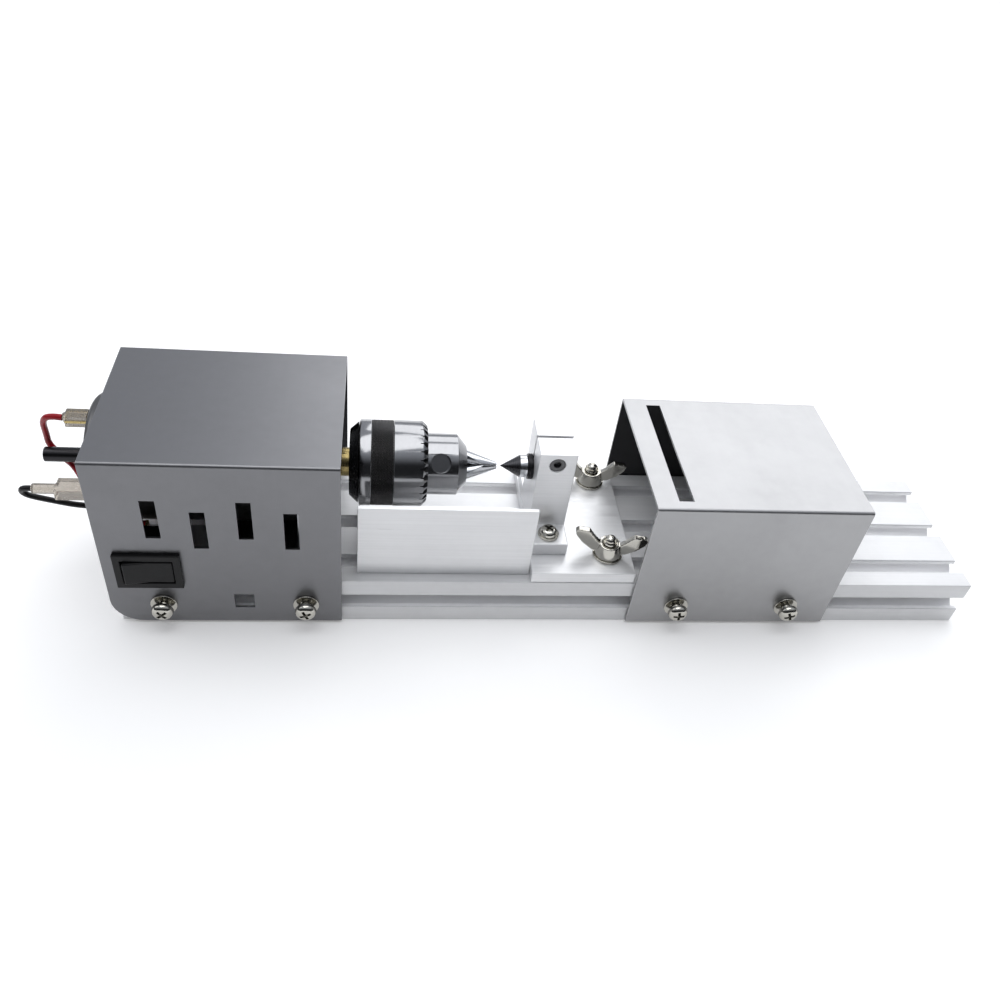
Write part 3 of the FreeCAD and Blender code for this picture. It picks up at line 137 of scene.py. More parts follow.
def new_tree(name, family, inputs, outputs):
    """An empty group with named inputs (name, kind, value) and outputs (name, kind)."""
    tree = bpy.data.node_groups.new(name, family)
    for label, kind, value in inputs:
        socket = tree.interface.new_socket(name=label, in_out="INPUT", socket_type=KINDS[kind])
        if value is not None:
            socket.default_value = value
    for label, kind in outputs:
        tree.interface.new_socket(name=label, in_out="OUTPUT", socket_type=KINDS[kind])
    return tree, tree.nodes.new("NodeGroupInput").outputs, tree.nodes.new("NodeGroupOutput").inputs


# %% [markdown]
# ## Effects that many finishes share
#
# Metal is never one flat value.  Three effects come back in nearly every finish here: fine lines left
# by rolling, drawing or milling; cloudy marks of handling; and bright worn edges.  Each is built once
# as a shader group, which puts out a plain mask, and each material mixes the masks in its own amounts.


# %% Shared effect: drawn lines
def drawn_lines_group():
    """Noise stretched hard along one axis, as a value about one half."""
    tree, given, result = new_tree(
        "drawn_lines", "ShaderNodeTree",
        [("Stretch", "vector", (40.0, 4000.0, 4000.0))], [("Lines", "float")])
    where = add(tree, "ShaderNodeTexCoord").outputs["Object"]
    stretched = add(tree, "ShaderNodeVectorMath", {0: where, 1: given["Stretch"]}, operation="MULTIPLY")
    noise = add(tree, "ShaderNodeTexNoise", {
        "Vector": stretched.outputs[0], "Scale": 1.0, "Detail": 3.0, "Roughness": 0.6})
    tree.links.new(noise.outputs[0], result["Lines"])
    return tree


DRAWN_LINES = drawn_lines_group()


# %% Shared effect: clouds of handling
def clouds_group():
    """Slow and fast noise multiplied, so that patches have soft, broken borders."""
    tree, given, result = new_tree(
        "clouds", "ShaderNodeTree", [("Size", "float", 40.0)], [("Clouds", "float")])
    where = add(tree, "ShaderNodeTexCoord").outputs["Object"]
    slow = add(tree, "ShaderNodeTexNoise", {
        "Vector": where, "Scale": given["Size"], "Detail": 4.0, "Roughness": 0.55, "Distortion": 0.3})
    fast = add(tree, "ShaderNodeTexNoise", {
        "Vector": where, "Scale": calc(tree, "MULTIPLY", given["Size"], 9.0), "Detail": 2.0})
    mixed = calc(tree, "MULTIPLY", slow.outputs[0], calc(tree, "ADD", fast.outputs[0], 0.5))
    tree.links.new(mixed, result["Clouds"])
    return tree


CLOUDS = clouds_group()


# %% Shared effect: worn edges
def worn_edges_group():
    """A mask that is bright where a rounded normal leaves the true one, broken up by noise."""
    tree, given, result = new_tree(
        "worn_edges", "ShaderNodeTree",
        [("Width", "float", 0.4 * MM), ("Amount", "float", 1.0)], [("Edge", "float")])
    rounded = add(tree, "ShaderNodeBevel", {"Radius": given["Width"]}, samples=4)
    true = add(tree, "ShaderNodeNewGeometry").outputs["Normal"]
    match = add(tree, "ShaderNodeVectorMath", {0: rounded.outputs[0], 1: true}, operation="DOT_PRODUCT")
    bend = calc(tree, "SUBTRACT", 1.0, match.outputs["Value"])
    where = add(tree, "ShaderNodeTexCoord").outputs["Object"]
    breaks = add(tree, "ShaderNodeTexNoise", {"Vector": where, "Scale": 700.0, "Detail": 2.0})
    mask = calc(tree, "MULTIPLY", calc(tree, "MULTIPLY", bend, 5.0), breaks.outputs[0])
    limited = add(tree, "ShaderNodeClamp", {"Value": calc(tree, "MULTIPLY", mask, given["Amount"])})
    tree.links.new(limited.outputs[0], result["Edge"])
    return tree


WORN_EDGES = worn_edges_group()
print("effects:", DRAWN_LINES.name, CLOUDS.name, WORN_EDGES.name)


# %% [markdown]
# ## Metals
#
# A metal in the Principled shader is its colour, how rough it is, and what disturbs it.  One function
# takes those in the words a maker would use.  `lines` says how strong the tool marks are and `stretch`
# which way they run: a small number along an axis makes long lines along it.  The lines change the
# roughness, a little of the colour and, through a Bump node, the normal.  The clouds change the colour
# and the roughness a little, and worn edges are brighter than the rest.


# %% Metals
def group(tree, shared, **sockets):
    made = tree.nodes.new("ShaderNodeGroup")
    made.node_tree = shared
    for name, value in sockets.items():
        made.inputs[name].default_value = value
    return made.outputs[0]


def mix_colours(tree, factor, first, second):
    made = add(tree, "ShaderNodeMix", data_type="RGBA")
    sockets = {0: factor, 6: first, 7: second}
    for index, source in sockets.items():
        if isinstance(source, bpy.types.NodeSocket):
            tree.links.new(source, made.inputs[index])
        else:
            made.inputs[index].default_value = source
    return made.outputs[2]


def spread(tree, value, low, high):
    """Map a mask from 0..1 to low..high."""
    return add(tree, "ShaderNodeMapRange", {"Value": value, "To Min": low, "To Max": high}).outputs[0]


def shade(colour, factor):
    return tuple(min(1.0, channel * factor) for channel in colour[:3]) + (1.0,)


def fresh_material(name):
    """A material with nothing in it but a Principled shader and its output."""
    material = bpy.data.materials.new(name)
    material.use_nodes = True
    tree = material.node_tree
    tree.nodes.clear()
    shader = tree.nodes.new("ShaderNodeBsdfPrincipled")
    output = tree.nodes.new("ShaderNodeOutputMaterial")
    tree.links.new(shader.outputs[0], output.inputs[0])
    return material, tree, shader


LINE_TONE = 0.18  # the share of a line's strength that also goes into the colour
WORN_SHADE = 1.5  # a worn edge is brighter than the skin by this factor


def metal(name, colour, rough, lines=0.2, stretch=(40.0, 4000.0, 4000.0), cloud=0.12, cloud_size=40.0,
          edge=0.5, metallic=1.0, depth=0.02):
    material, tree, shader = fresh_material(name)
    marks = group(tree, DRAWN_LINES, Stretch=stretch)
    clouds = group(tree, CLOUDS, Size=cloud_size)
    worn = group(tree, WORN_EDGES, Amount=edge)
    body = mix_colours(tree, clouds, shade(colour, 1.0 + cloud), shade(colour, 1.0 - cloud))
    tone = mix_colours(tree, worn, body, shade(colour, WORN_SHADE))
    change = spread(tree, marks, 1.0 - LINE_TONE * lines, 1.0 + LINE_TONE * lines)
    lined = add(tree, "ShaderNodeVectorMath", {0: tone, 1: change}, operation="MULTIPLY")
    tree.links.new(lined.outputs[0], shader.inputs["Base Color"])
    streaked = spread(tree, marks, rough * (1.0 - lines), rough * (1.0 + lines))
    smudged = calc(tree, "MULTIPLY", streaked, spread(tree, clouds, 0.85, 1.15))
    tree.links.new(smudged, shader.inputs["Roughness"])
    bump = add(tree, "ShaderNodeBump", {"Height": marks, "Strength": lines, "Distance": depth * MM})
    tree.links.new(bump.outputs[0], shader.inputs["Normal"])
    shader.inputs["Metallic"].default_value = metallic
    return material


DRAWN = (18.0, 800.0, 1600.0)
BRUSHED = (18.0, 700.0, 1300.0)
TURNED = (5000.0, 250.0, 250.0)
TURNED_ROUGHLY = (5000.0, 300.0, 300.0)
EVEN = (2500.0, 2500.0, 2500.0)
FINISHES = {
    "bed_alloy": metal("bed_alloy", (0.74, 0.742, 0.748), 0.42, 0.35, DRAWN, cloud=0.05, metallic=0.25,
                       depth=0.03),
    "machined_alloy": metal("machined_alloy", (0.80, 0.802, 0.808), 0.36, 0.5, BRUSHED, cloud=0.04,
                            metallic=0.5),
    "nickel": metal("nickel", (0.50, 0.485, 0.44), 0.14, 0.15, EVEN, cloud=0.12, cloud_size=200.0),
    "zinc_steel": metal("zinc_steel", (0.60, 0.61, 0.63), 0.34, 0.2, EVEN),
    "motor_steel": metal("motor_steel", (0.12, 0.12, 0.122), 0.42, 0.25, EVEN),
    "black_steel": metal("black_steel", (0.035, 0.034, 0.036), 0.32, 0.3, (4000.0, 200.0, 200.0)),
    "brass": metal("brass", (0.44, 0.345, 0.15), 0.26, 0.3, TURNED_ROUGHLY, cloud=0.15),
    "copper": metal("copper", (0.72, 0.33, 0.18), 0.30, 0.3, TURNED_ROUGHLY),
    "iron": metal("iron", (0.20, 0.20, 0.21), 0.50, 0.4, (9000.0, 100.0, 100.0)),
    "magnet": metal("magnet", (0.10, 0.10, 0.11), 0.60, 0.2, EVEN, metallic=0.3),
    "chuck_chrome": metal("chuck_chrome", (0.66, 0.67, 0.69), 0.13, 0.35, TURNED, cloud=0.08,
                          cloud_size=90.0),
    "jaw_steel": metal("jaw_steel", (0.52, 0.53, 0.55), 0.20, 0.35, (6000.0, 300.0, 300.0)),
    # Near black for the knurled grip band: partly its own dark finish, partly a painted dark reflection.
    "knurl_dark_and_painted_reflection": metal("knurl_dark_and_painted_reflection", (0.09, 0.088, 0.088), 0.34, 0.3, EVEN),
}
print(len(FINISHES), "metals")

# %% [markdown]
# ## Two tones on one piece
#
# Three turned pieces wear two tones.  The chuck's body behind the sleeve is made black as a painted dark
# reflection, and it is polished in front of it.  The faces of the sleeve's teeth are made black as
# painted shade in the notches.  They are told from the turned skin by their normals: a turned face never
# looks sideways round the axis, and a cut one does.  The live centre's cone is darker than its collar.
# Each effect is a group that gives only a mask.


# %% Masks for cut faces and for places along the axis
def cut_faces_group():
    """One where a face looks sideways round the spindle's line, which no turned face does."""
    tree, _, result = new_tree("cut_faces", "ShaderNodeTree", [], [("Cut", "float")])
    coordinates = tree.nodes.new("ShaderNodeTexCoord").outputs
    centred = add(tree, "ShaderNodeVectorMath", {
        0: coordinates["Object"], 1: (0.0, 0.0, AXIS_LEVEL)}, operation="SUBTRACT").outputs[0]
    around = add(tree, "ShaderNodeVectorMath", {0: (1.0, 0.0, 0.0), 1: centred}, operation="CROSS_PRODUCT")
    level = add(tree, "ShaderNodeVectorMath", {0: around.outputs[0]}, operation="NORMALIZE").outputs[0]
    match = add(tree, "ShaderNodeVectorMath", {0: coordinates["Normal"], 1: level}, operation="DOT_PRODUCT")
    sideways = calc(tree, "ABSOLUTE", match.outputs["Value"])
    mask = add(tree, "ShaderNodeMapRange", {
        "Value": sideways, "From Min": 0.18, "From Max": 0.35}).outputs[0]
    tree.links.new(mask, result["Cut"])
    return tree


def behind_group():
    """One behind a place along X, with a short soft border."""
    tree, given, result = new_tree(
        "behind", "ShaderNodeTree", [("Place", "float", 0.0), ("Border", "float", 0.05 * MM)],
        [("Behind", "float")])
    where = add(tree, "ShaderNodeTexCoord").outputs["Object"]
    along = add(tree, "ShaderNodeSeparateXYZ", {0: where}).outputs[0]
    ahead = calc(tree, "DIVIDE", calc(tree, "SUBTRACT", given["Place"], along), given["Border"])
    mask = add(tree, "ShaderNodeClamp", {"Value": ahead}).outputs[0]
    tree.links.new(mask, result["Behind"])
    return tree


def second_tone(material, shared, colour, rough, **sockets):
    """Mix a second colour and roughness into a metal where a shared mask says so."""
    tree = material.node_tree
    shader = next(node for node in tree.nodes if node.type == "BSDF_PRINCIPLED")
    mask = group(tree, shared, **sockets)
    toned = mix_colours(tree, mask, shader.inputs["Base Color"].links[0].from_socket, colour)
    tree.links.new(toned, shader.inputs["Base Color"])
    polish = shader.inputs["Roughness"].links[0].from_socket
    duller = calc(tree, "ADD", polish, calc(tree, "MULTIPLY", mask, rough))
    tree.links.new(duller, shader.inputs["Roughness"])
    return material


# Painted shade in the teeth's notches, and painted dark reflection on the chuck's body behind the sleeve.
PAINTED_SHADE_AND_REFLECTION = (0.02, 0.02, 0.021, 1.0)
CONE_STEEL = (0.09, 0.09, 0.095, 1.0)
SLEEVE_REAR, SLEEVE_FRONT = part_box("chuck_sleeve")[0][0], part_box("chuck_sleeve")[1][0]
POINT_TIP, POINT_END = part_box("centre_point")[0][0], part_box("centre_point")[1][0]
CONE_END = POINT_TIP + 6.9 * MM
CUT_FACES, BEHIND = cut_faces_group(), behind_group()


def polished_chrome(name):
    return metal(name, (0.29, 0.292, 0.30), 0.15, 0.35, TURNED, cloud=0.08, cloud_size=90.0)


# The teeth's cut faces get painted shade.
FINISHES["toothed_chrome"] = second_tone(polished_chrome("toothed_chrome"), CUT_FACES, PAINTED_SHADE_AND_REFLECTION, 0.35)
# The body behind the sleeve gets a painted dark reflection.
FINISHES["chuck_body_finish"] = second_tone(
    polished_chrome("chuck_body_finish"), BEHIND, PAINTED_SHADE_AND_REFLECTION, 0.12, Place=SLEEVE_REAR)
FINISHES["centre_steel"] = second_tone(
    metal("centre_steel", (0.55, 0.56, 0.58), 0.18, 0.35, TURNED), BEHIND, CONE_STEEL, 0.08, Place=CONE_END)
print("masks:", CUT_FACES.name, BEHIND.name)

# %% [markdown]
# ## Painted light in the bed's slots
#
# The walls inside the bed's slots stay bright, although little light gets in.  Their real finish can't
# be known, so this is a choice of look: a mask by place paints light into the slots and onto the sawn
# ends, a paler and duller tone than the faces outside.

# %% Painted light inside the slots
BED_HALF, BED_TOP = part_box("bed_extrusion")[1][1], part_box("bed_extrusion")[1][2]
SLOT_SKIN = 0.5 * MM
# Painted light: the pale tone that stands in for light inside the slots.
PAINTED_SLOT_LIGHT = (0.97, 0.97, 0.975, 1.0)


def slot_insides_group():
    """One inside the bed's slots and on its sawn ends, nothing on its long outer faces."""
    tree, _, result = new_tree("slot_insides", "ShaderNodeTree", [], [("Inside", "float")])
    where = add(tree, "ShaderNodeTexCoord").outputs["Object"]
    parts = add(tree, "ShaderNodeSeparateXYZ", {0: where}).outputs
    across = calc(tree, "LESS_THAN", calc(tree, "ABSOLUTE", parts[1]), BED_HALF - SLOT_SKIN)
    below = calc(tree, "LESS_THAN", parts[2], BED_TOP - SLOT_SKIN)
    above = calc(tree, "GREATER_THAN", parts[2], SLOT_SKIN)
    tree.links.new(calc(tree, "MULTIPLY", across, calc(tree, "MULTIPLY", below, above)), result["Inside"])
    return tree


SLOT_INSIDES = slot_insides_group()
# The mask paints light into the slots and onto the bed's sawn ends.
second_tone(FINISHES["bed_alloy"], SLOT_INSIDES, PAINTED_SLOT_LIGHT, 0.2)
print("mask:", SLOT_INSIDES.name)


# %% [markdown]
# ## The covers' satin coat
#
# Both covers are folded from sheet with a satin coat: dark blue-grey over the motor, silver on the saw
# table.  One function makes both.  The coat is not quite a metal: fine flakes in a clear binder scatter
# light, so the metallic value stays below one, and a very fine grain of bumps softens what it mirrors.


# %% Satin coat
def satin_coat(name, colour, rough, metallic):
    material, tree, shader = fresh_material(name)
    clouds = group(tree, CLOUDS, Size=28.0)
    worn = group(tree, WORN_EDGES, Width=0.5 * MM, Amount=0.9)
    where = add(tree, "ShaderNodeTexCoord").outputs["Object"]
    flakes = add(tree, "ShaderNodeTexNoise", {
        "Vector": where, "Scale": 3200.0, "Detail": 2.0}).outputs[0]
    rolled = group(tree, DRAWN_LINES, Stretch=(900.0, 22.0, 22.0))
    body = mix_colours(tree, clouds, shade(colour, 1.08), shade(colour, 0.90))
    grain = mix_colours(tree, spread(tree, rolled, 0.0, 0.35), body, shade(colour, 0.93))
    tone = mix_colours(tree, worn, grain, shade(colour, 1.55))
    tree.links.new(tone, shader.inputs["Base Color"])
    patchy = calc(tree, "MULTIPLY", spread(tree, flakes, rough * 0.85, rough * 1.15),
                  spread(tree, clouds, 0.88, 1.12))
    tree.links.new(patchy, shader.inputs["Roughness"])
    bump = add(tree, "ShaderNodeBump", {"Height": flakes, "Strength": 0.25, "Distance": 0.02 * MM})
    tree.links.new(bump.outputs[0], shader.inputs["Normal"])
    shader.inputs["Metallic"].default_value = metallic
    return material


FINISHES["cover_paint"] = satin_coat("cover_paint", (0.20, 0.201, 0.209), 0.36, 0.95)
FINISHES["table_metal"] = satin_coat("table_metal", (0.37, 0.37, 0.375), 0.34, 0.92)
print("coats:", FINISHES["cover_paint"].name, FINISHES["table_metal"].name)

# %% [markdown]
# ## Painted shade on the covers' insides
#
# The insides of both covers look much darker than the coat outside, darker than the render's shade
# makes them, so painted shade darkens them here.  A face of a cover is an inner one if it looks towards
# the middle plane of the machine or down, so a mask reads the normal and the side on which the face stands.

# %% Painted shade inside the covers
# Painted shade: the near-black tone given to the covers' inner faces.
INNER_PAINTED_SHADE = (0.07, 0.07, 0.073, 1.0)


def inner_faces_group():
    """One on faces that look in at the middle plane or down, nothing on the outside of a cover."""
    tree, _, result = new_tree("inner_faces", "ShaderNodeTree", [], [("Inner", "float")])
    coordinates = tree.nodes.new("ShaderNodeTexCoord").outputs
    place = add(tree, "ShaderNodeSeparateXYZ", {0: coordinates["Object"]}).outputs
    facing = add(tree, "ShaderNodeSeparateXYZ", {0: coordinates["Normal"]}).outputs
    inward = calc(tree, "LESS_THAN", calc(tree, "MULTIPLY", place[1], facing[1]), -5.0 * MM)
    downward = calc(tree, "LESS_THAN", facing[2], -0.5)
    tree.links.new(calc(tree, "MAXIMUM", inward, downward), result["Inner"])
    return tree


INNER_FACES = inner_faces_group()
# Paints shade onto the inner faces of both covers.
for name in ("table_metal", "cover_paint"):
    second_tone(FINISHES[name], INNER_FACES, INNER_PAINTED_SHADE, 0.15)
print("mask:", INNER_FACES.name)


# %% [markdown]
# ## Plastics
#
# The switch is moulded with a fine spark-eroded grain, the power socket is duller, and the leads have
# smooth vinyl with a soft shine.  The push-on connectors wear sleeves of clear vinyl that has gone
# milky, so light goes through them and spreads.  The solid plastics mirror less than the clear one, so
# their index of refraction is lower.


# %% Plastics
def plastic(name, colour, rough, grain=0.2, grain_size=2500.0, clear=0.0):
    material, tree, shader = fresh_material(name)
    where = add(tree, "ShaderNodeTexCoord").outputs["Object"]
    pores = add(tree, "ShaderNodeTexNoise", {
        "Vector": where, "Scale": grain_size, "Detail": 3.0}).outputs[0]
    clouds = group(tree, CLOUDS, Size=120.0)
    tone = mix_colours(tree, clouds, shade(colour, 1.25), shade(colour, 0.8))
    tree.links.new(tone, shader.inputs["Base Color"])
    tree.links.new(spread(tree, clouds, rough * 0.75, rough * 1.3), shader.inputs["Roughness"])
    bump = add(tree, "ShaderNodeBump", {"Height": pores, "Strength": grain, "Distance": 0.03 * MM})
    tree.links.new(bump.outputs[0], shader.inputs["Normal"])
    shader.inputs["IOR"].default_value = 1.5 if clear else 1.33
    shader.inputs["Transmission Weight"].default_value = clear
    return material


PLASTICS = {
    "black_plastic": ((0.005, 0.005, 0.0055), 0.42, 0.25),
    "dark_plastic": ((0.03, 0.03, 0.033), 0.45, 0.4),
    "carbon": ((0.03, 0.03, 0.03), 0.7, 0.5),
    "clear_sleeve": ((0.58, 0.53, 0.46), 0.24, 0.2, 500.0, 0.8),
    "red_vinyl": ((0.28, 0.008, 0.014), 0.30, 0.15, 900.0),
    "black_vinyl": ((0.010, 0.010, 0.011), 0.30, 0.15, 900.0),
}
for name, choices in PLASTICS.items():
    FINISHES[name] = plastic(name, *choices)
print(len(FINISHES), "finishes in all")

# %% [markdown]
# ## Running a Geometry Nodes tree once
#
# Whatever repeats on the machine is grown by a Geometry Nodes tree: screws, gear teeth and knurling.  A
# tree can't ride on a joint by itself, so it runs once on a small host mesh, its result is kept as a
# plain mesh, and the host goes away.  Inputs are set by the identifiers of their sockets.


# %% Run a tree
def link(thing):
    bpy.context.scene.collection.objects.link(thing)
    return thing


def evaluated_mesh(thing, name):
    """The mesh that an object's modifiers make, with none of them left."""
    seen = thing.evaluated_get(bpy.context.evaluated_depsgraph_get())
    mesh = bpy.data.meshes.new_from_object(seen)
    mesh.name = name
    return mesh


def grown_mesh(name, tree, host_mesh, sharp=35.0, **values):
    host = link(bpy.data.objects.new(name + "_host", host_mesh))
    growth = host.modifiers.new("growth", "NODES")
    growth.node_group = tree
    for item in tree.interface.items_tree:
        if item.in_out == "INPUT" and item.name in values:
            growth[item.identifier] = values[item.name]
    mesh = evaluated_mesh(host, name)
    bpy.data.objects.remove(host)
    mesh.shade_smooth()
    mesh.set_sharp_from_angle(angle=math.radians(sharp))
    return mesh


def body_of(node):
    return NODES[node]["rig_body"]


def stand_in(name, mesh, node, finish):
    """Put a finished mesh in the scene in the place of a CAD node."""
    mesh.materials.clear()
    mesh.materials.append(FINISHES[finish])
    piece = link(bpy.data.objects.new(name, mesh))
    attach(piece, body_of(node))
    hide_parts(node)
    return piece


def vector(tree, x=0.0, y=0.0, z=0.0):
    return add(tree, "ShaderNodeCombineXYZ", {0: x, 1: y, 2: z}).outputs[0]


def join(tree, *parts):
    made = tree.nodes.new("GeometryNodeJoinGeometry")
    for part in reversed(parts):
        tree.links.new(part, made.inputs[0])
    return made.outputs[0]


def straight(tree, start, end):
    return add(tree, "GeometryNodeCurvePrimitiveLine", {"Start": start, "End": end}).outputs[0]


def arch(tree, start, first, second, end, steps=10):
    """A Bezier curve between two points with its two handles."""
    return add(tree, "GeometryNodeCurvePrimitiveBezierSegment", {
        "Resolution": steps, "Start": start, "Start Handle": first, "End Handle": second, "End": end},
        mode="POSITION").outputs[0]


def revolve(tree, profile, radius, sides):
    """Sweep a profile round a ring: its X is counted from the ring outwards, its Y downwards."""
    ring = add(tree, "GeometryNodeCurvePrimitiveCircle", {
        "Resolution": sides, "Radius": radius}).outputs[0]
    swept = add(tree, "GeometryNodeCurveToMesh", {"Curve": ring, "Profile Curve": profile}).outputs[0]
    return add(tree, "GeometryNodeMergeByDistance", {"Geometry": swept, "Distance": 0.002 * MM}).outputs[0]


def block(tree, x, y, z, level):
    made = add(tree, "GeometryNodeMeshCube", {"Size": vector(tree, x, y, z)}).outputs[0]
    return add(tree, "GeometryNodeTransform", {
        "Geometry": made, "Translation": vector(tree, 0.0, 0.0, level)}).outputs[0]


# %% [markdown]
# ## Breaking the edges
#
# A CAD solid has edges of no width, and nothing gives a render away faster.  Real edges catch a thin
# line of light.  So each solid that shows is copied, its loose triangles are merged back into flat
# faces, and a Bevel modifier rounds whatever is sharper than a limit.  The Weighted Normal modifier
# then keeps the large faces truly flat.  The result becomes a plain mesh that stands for the CAD node.


# %% Breaking the edges
WELD = 0.5e-6  # points nearer than this many metres are one point
SHARP_EDGE = 32.0  # an edge that turns by more than this many degrees is rounded


def merged_copy(node):
    """A CAD node's mesh with its triangles joined and its flat faces whole."""
    mesh = NODES[node].data.copy()
    work = bmesh.new()
    work.from_mesh(mesh)
    bmesh.ops.remove_doubles(work, verts=work.verts, dist=WELD)
    bmesh.ops.dissolve_limit(work, angle_limit=math.radians(0.4), verts=work.verts, edges=work.edges)
    work.to_mesh(mesh)
    work.free()
    return mesh


def broken_edges(node, finish, width):
    """Replace a CAD node with a copy whose edges are rounded."""
    rough = link(bpy.data.objects.new(node + "_rough", merged_copy(node)))
    bevel = rough.modifiers.new("broken edge", "BEVEL")
    bevel.width = width * MM
    bevel.segments = 2
    bevel.limit_method = "ANGLE"
    bevel.angle_limit = math.radians(SHARP_EDGE)
    bevel.use_clamp_overlap = False
    rough.data.shade_smooth()
    rough.modifiers.new("flat faces", "WEIGHTED_NORMAL").keep_sharp = True
    mesh = evaluated_mesh(rough, node + "_finished")
    bpy.data.objects.remove(rough)
    return stand_in(node + "_finished", mesh, node, finish)


EDGES = {
    "bed_extrusion": ("bed_alloy", 0.25), "headstock_cover": ("cover_paint", 0.15),
    "saw_table_cover": ("table_metal", 0.15), "tool_rest": ("machined_alloy", 0.2),
    "slide_plate": ("machined_alloy", 0.3), "tail_block": ("machined_alloy", 0.35),
    "motor_rear_cap": ("motor_steel", 0.3), "motor_bracket": ("zinc_steel", 0.3),
    "motor_shaft": ("black_steel", 0.3), "spindle_coupling": ("brass", 0.25),
    "centre_shank": ("black_steel", 0.15),
    "switch_housing": ("black_plastic", 0.3), "power_jack_nut": ("nickel", 0.2),
    "headstock_cover_washers": ("nickel", 0.15), "saw_table_cover_washers": ("nickel", 0.15),
    "tool_rest_washers": ("nickel", 0.15), "tail_block_washers": ("nickel", 0.15),
    "wing_washers": ("nickel", 0.15), "tail_clamp_screw": ("motor_steel", 0.15),
    "chuck_jaw_1": ("jaw_steel", 0.08), "chuck_jaw_2": ("jaw_steel", 0.08),
    "chuck_jaw_3": ("jaw_steel", 0.08), "chuck_body": ("chuck_body_finish", 0.12),
    "switch_rocker": ("black_plastic", 0.5), "motor_can": ("motor_steel", 0.2),
    "power_jack": ("dark_plastic", 0.2), "headstock_cover_tee_nuts": ("zinc_steel", 0.2),
    "bracket_tee_nuts": ("zinc_steel", 0.2), "tool_rest_tee_nuts": ("zinc_steel", 0.2),
    "saw_table_cover_tee_nuts": ("zinc_steel", 0.2),
}
for node, (finish, width) in EDGES.items():
    piece = broken_edges(node, finish, width)
    print(piece.name, len(piece.data.polygons), "faces")

# %% [markdown]
# ## Screws
#
# One tree makes every screw and bolt.  The head is a Bezier profile turned round the axis, with a
# Phillips recess cut by two crossed blocks and a small cone.  The shank is a core with a domed end and a
# diamond-shaped ridge wound round it as a thread.  The host has one vertex under each head and an
# attribute that says which way the head faces.  Each screw is turned by its own chance angle, since
# nobody stops a screwdriver at the same place twice.


# %% The screw tree
# Shares of the head's radius or height: its dome, the recess's two arms and the pit in their middle.
DOME, ARM_LENGTH, ARM_WIDTH, ARM_LEVEL = 0.95, 1.12, 0.27, 0.98
PIT_MOUTH, PIT_FLOOR, PIT_LEVEL = 0.34, 0.08, 0.28
# Shares of the core's radius and of the pitch: the domed tip, its handle and the thread's ridge.
TIP_LENGTH, TIP_HANDLE, RIDGE = 0.8, 0.36, 0.42


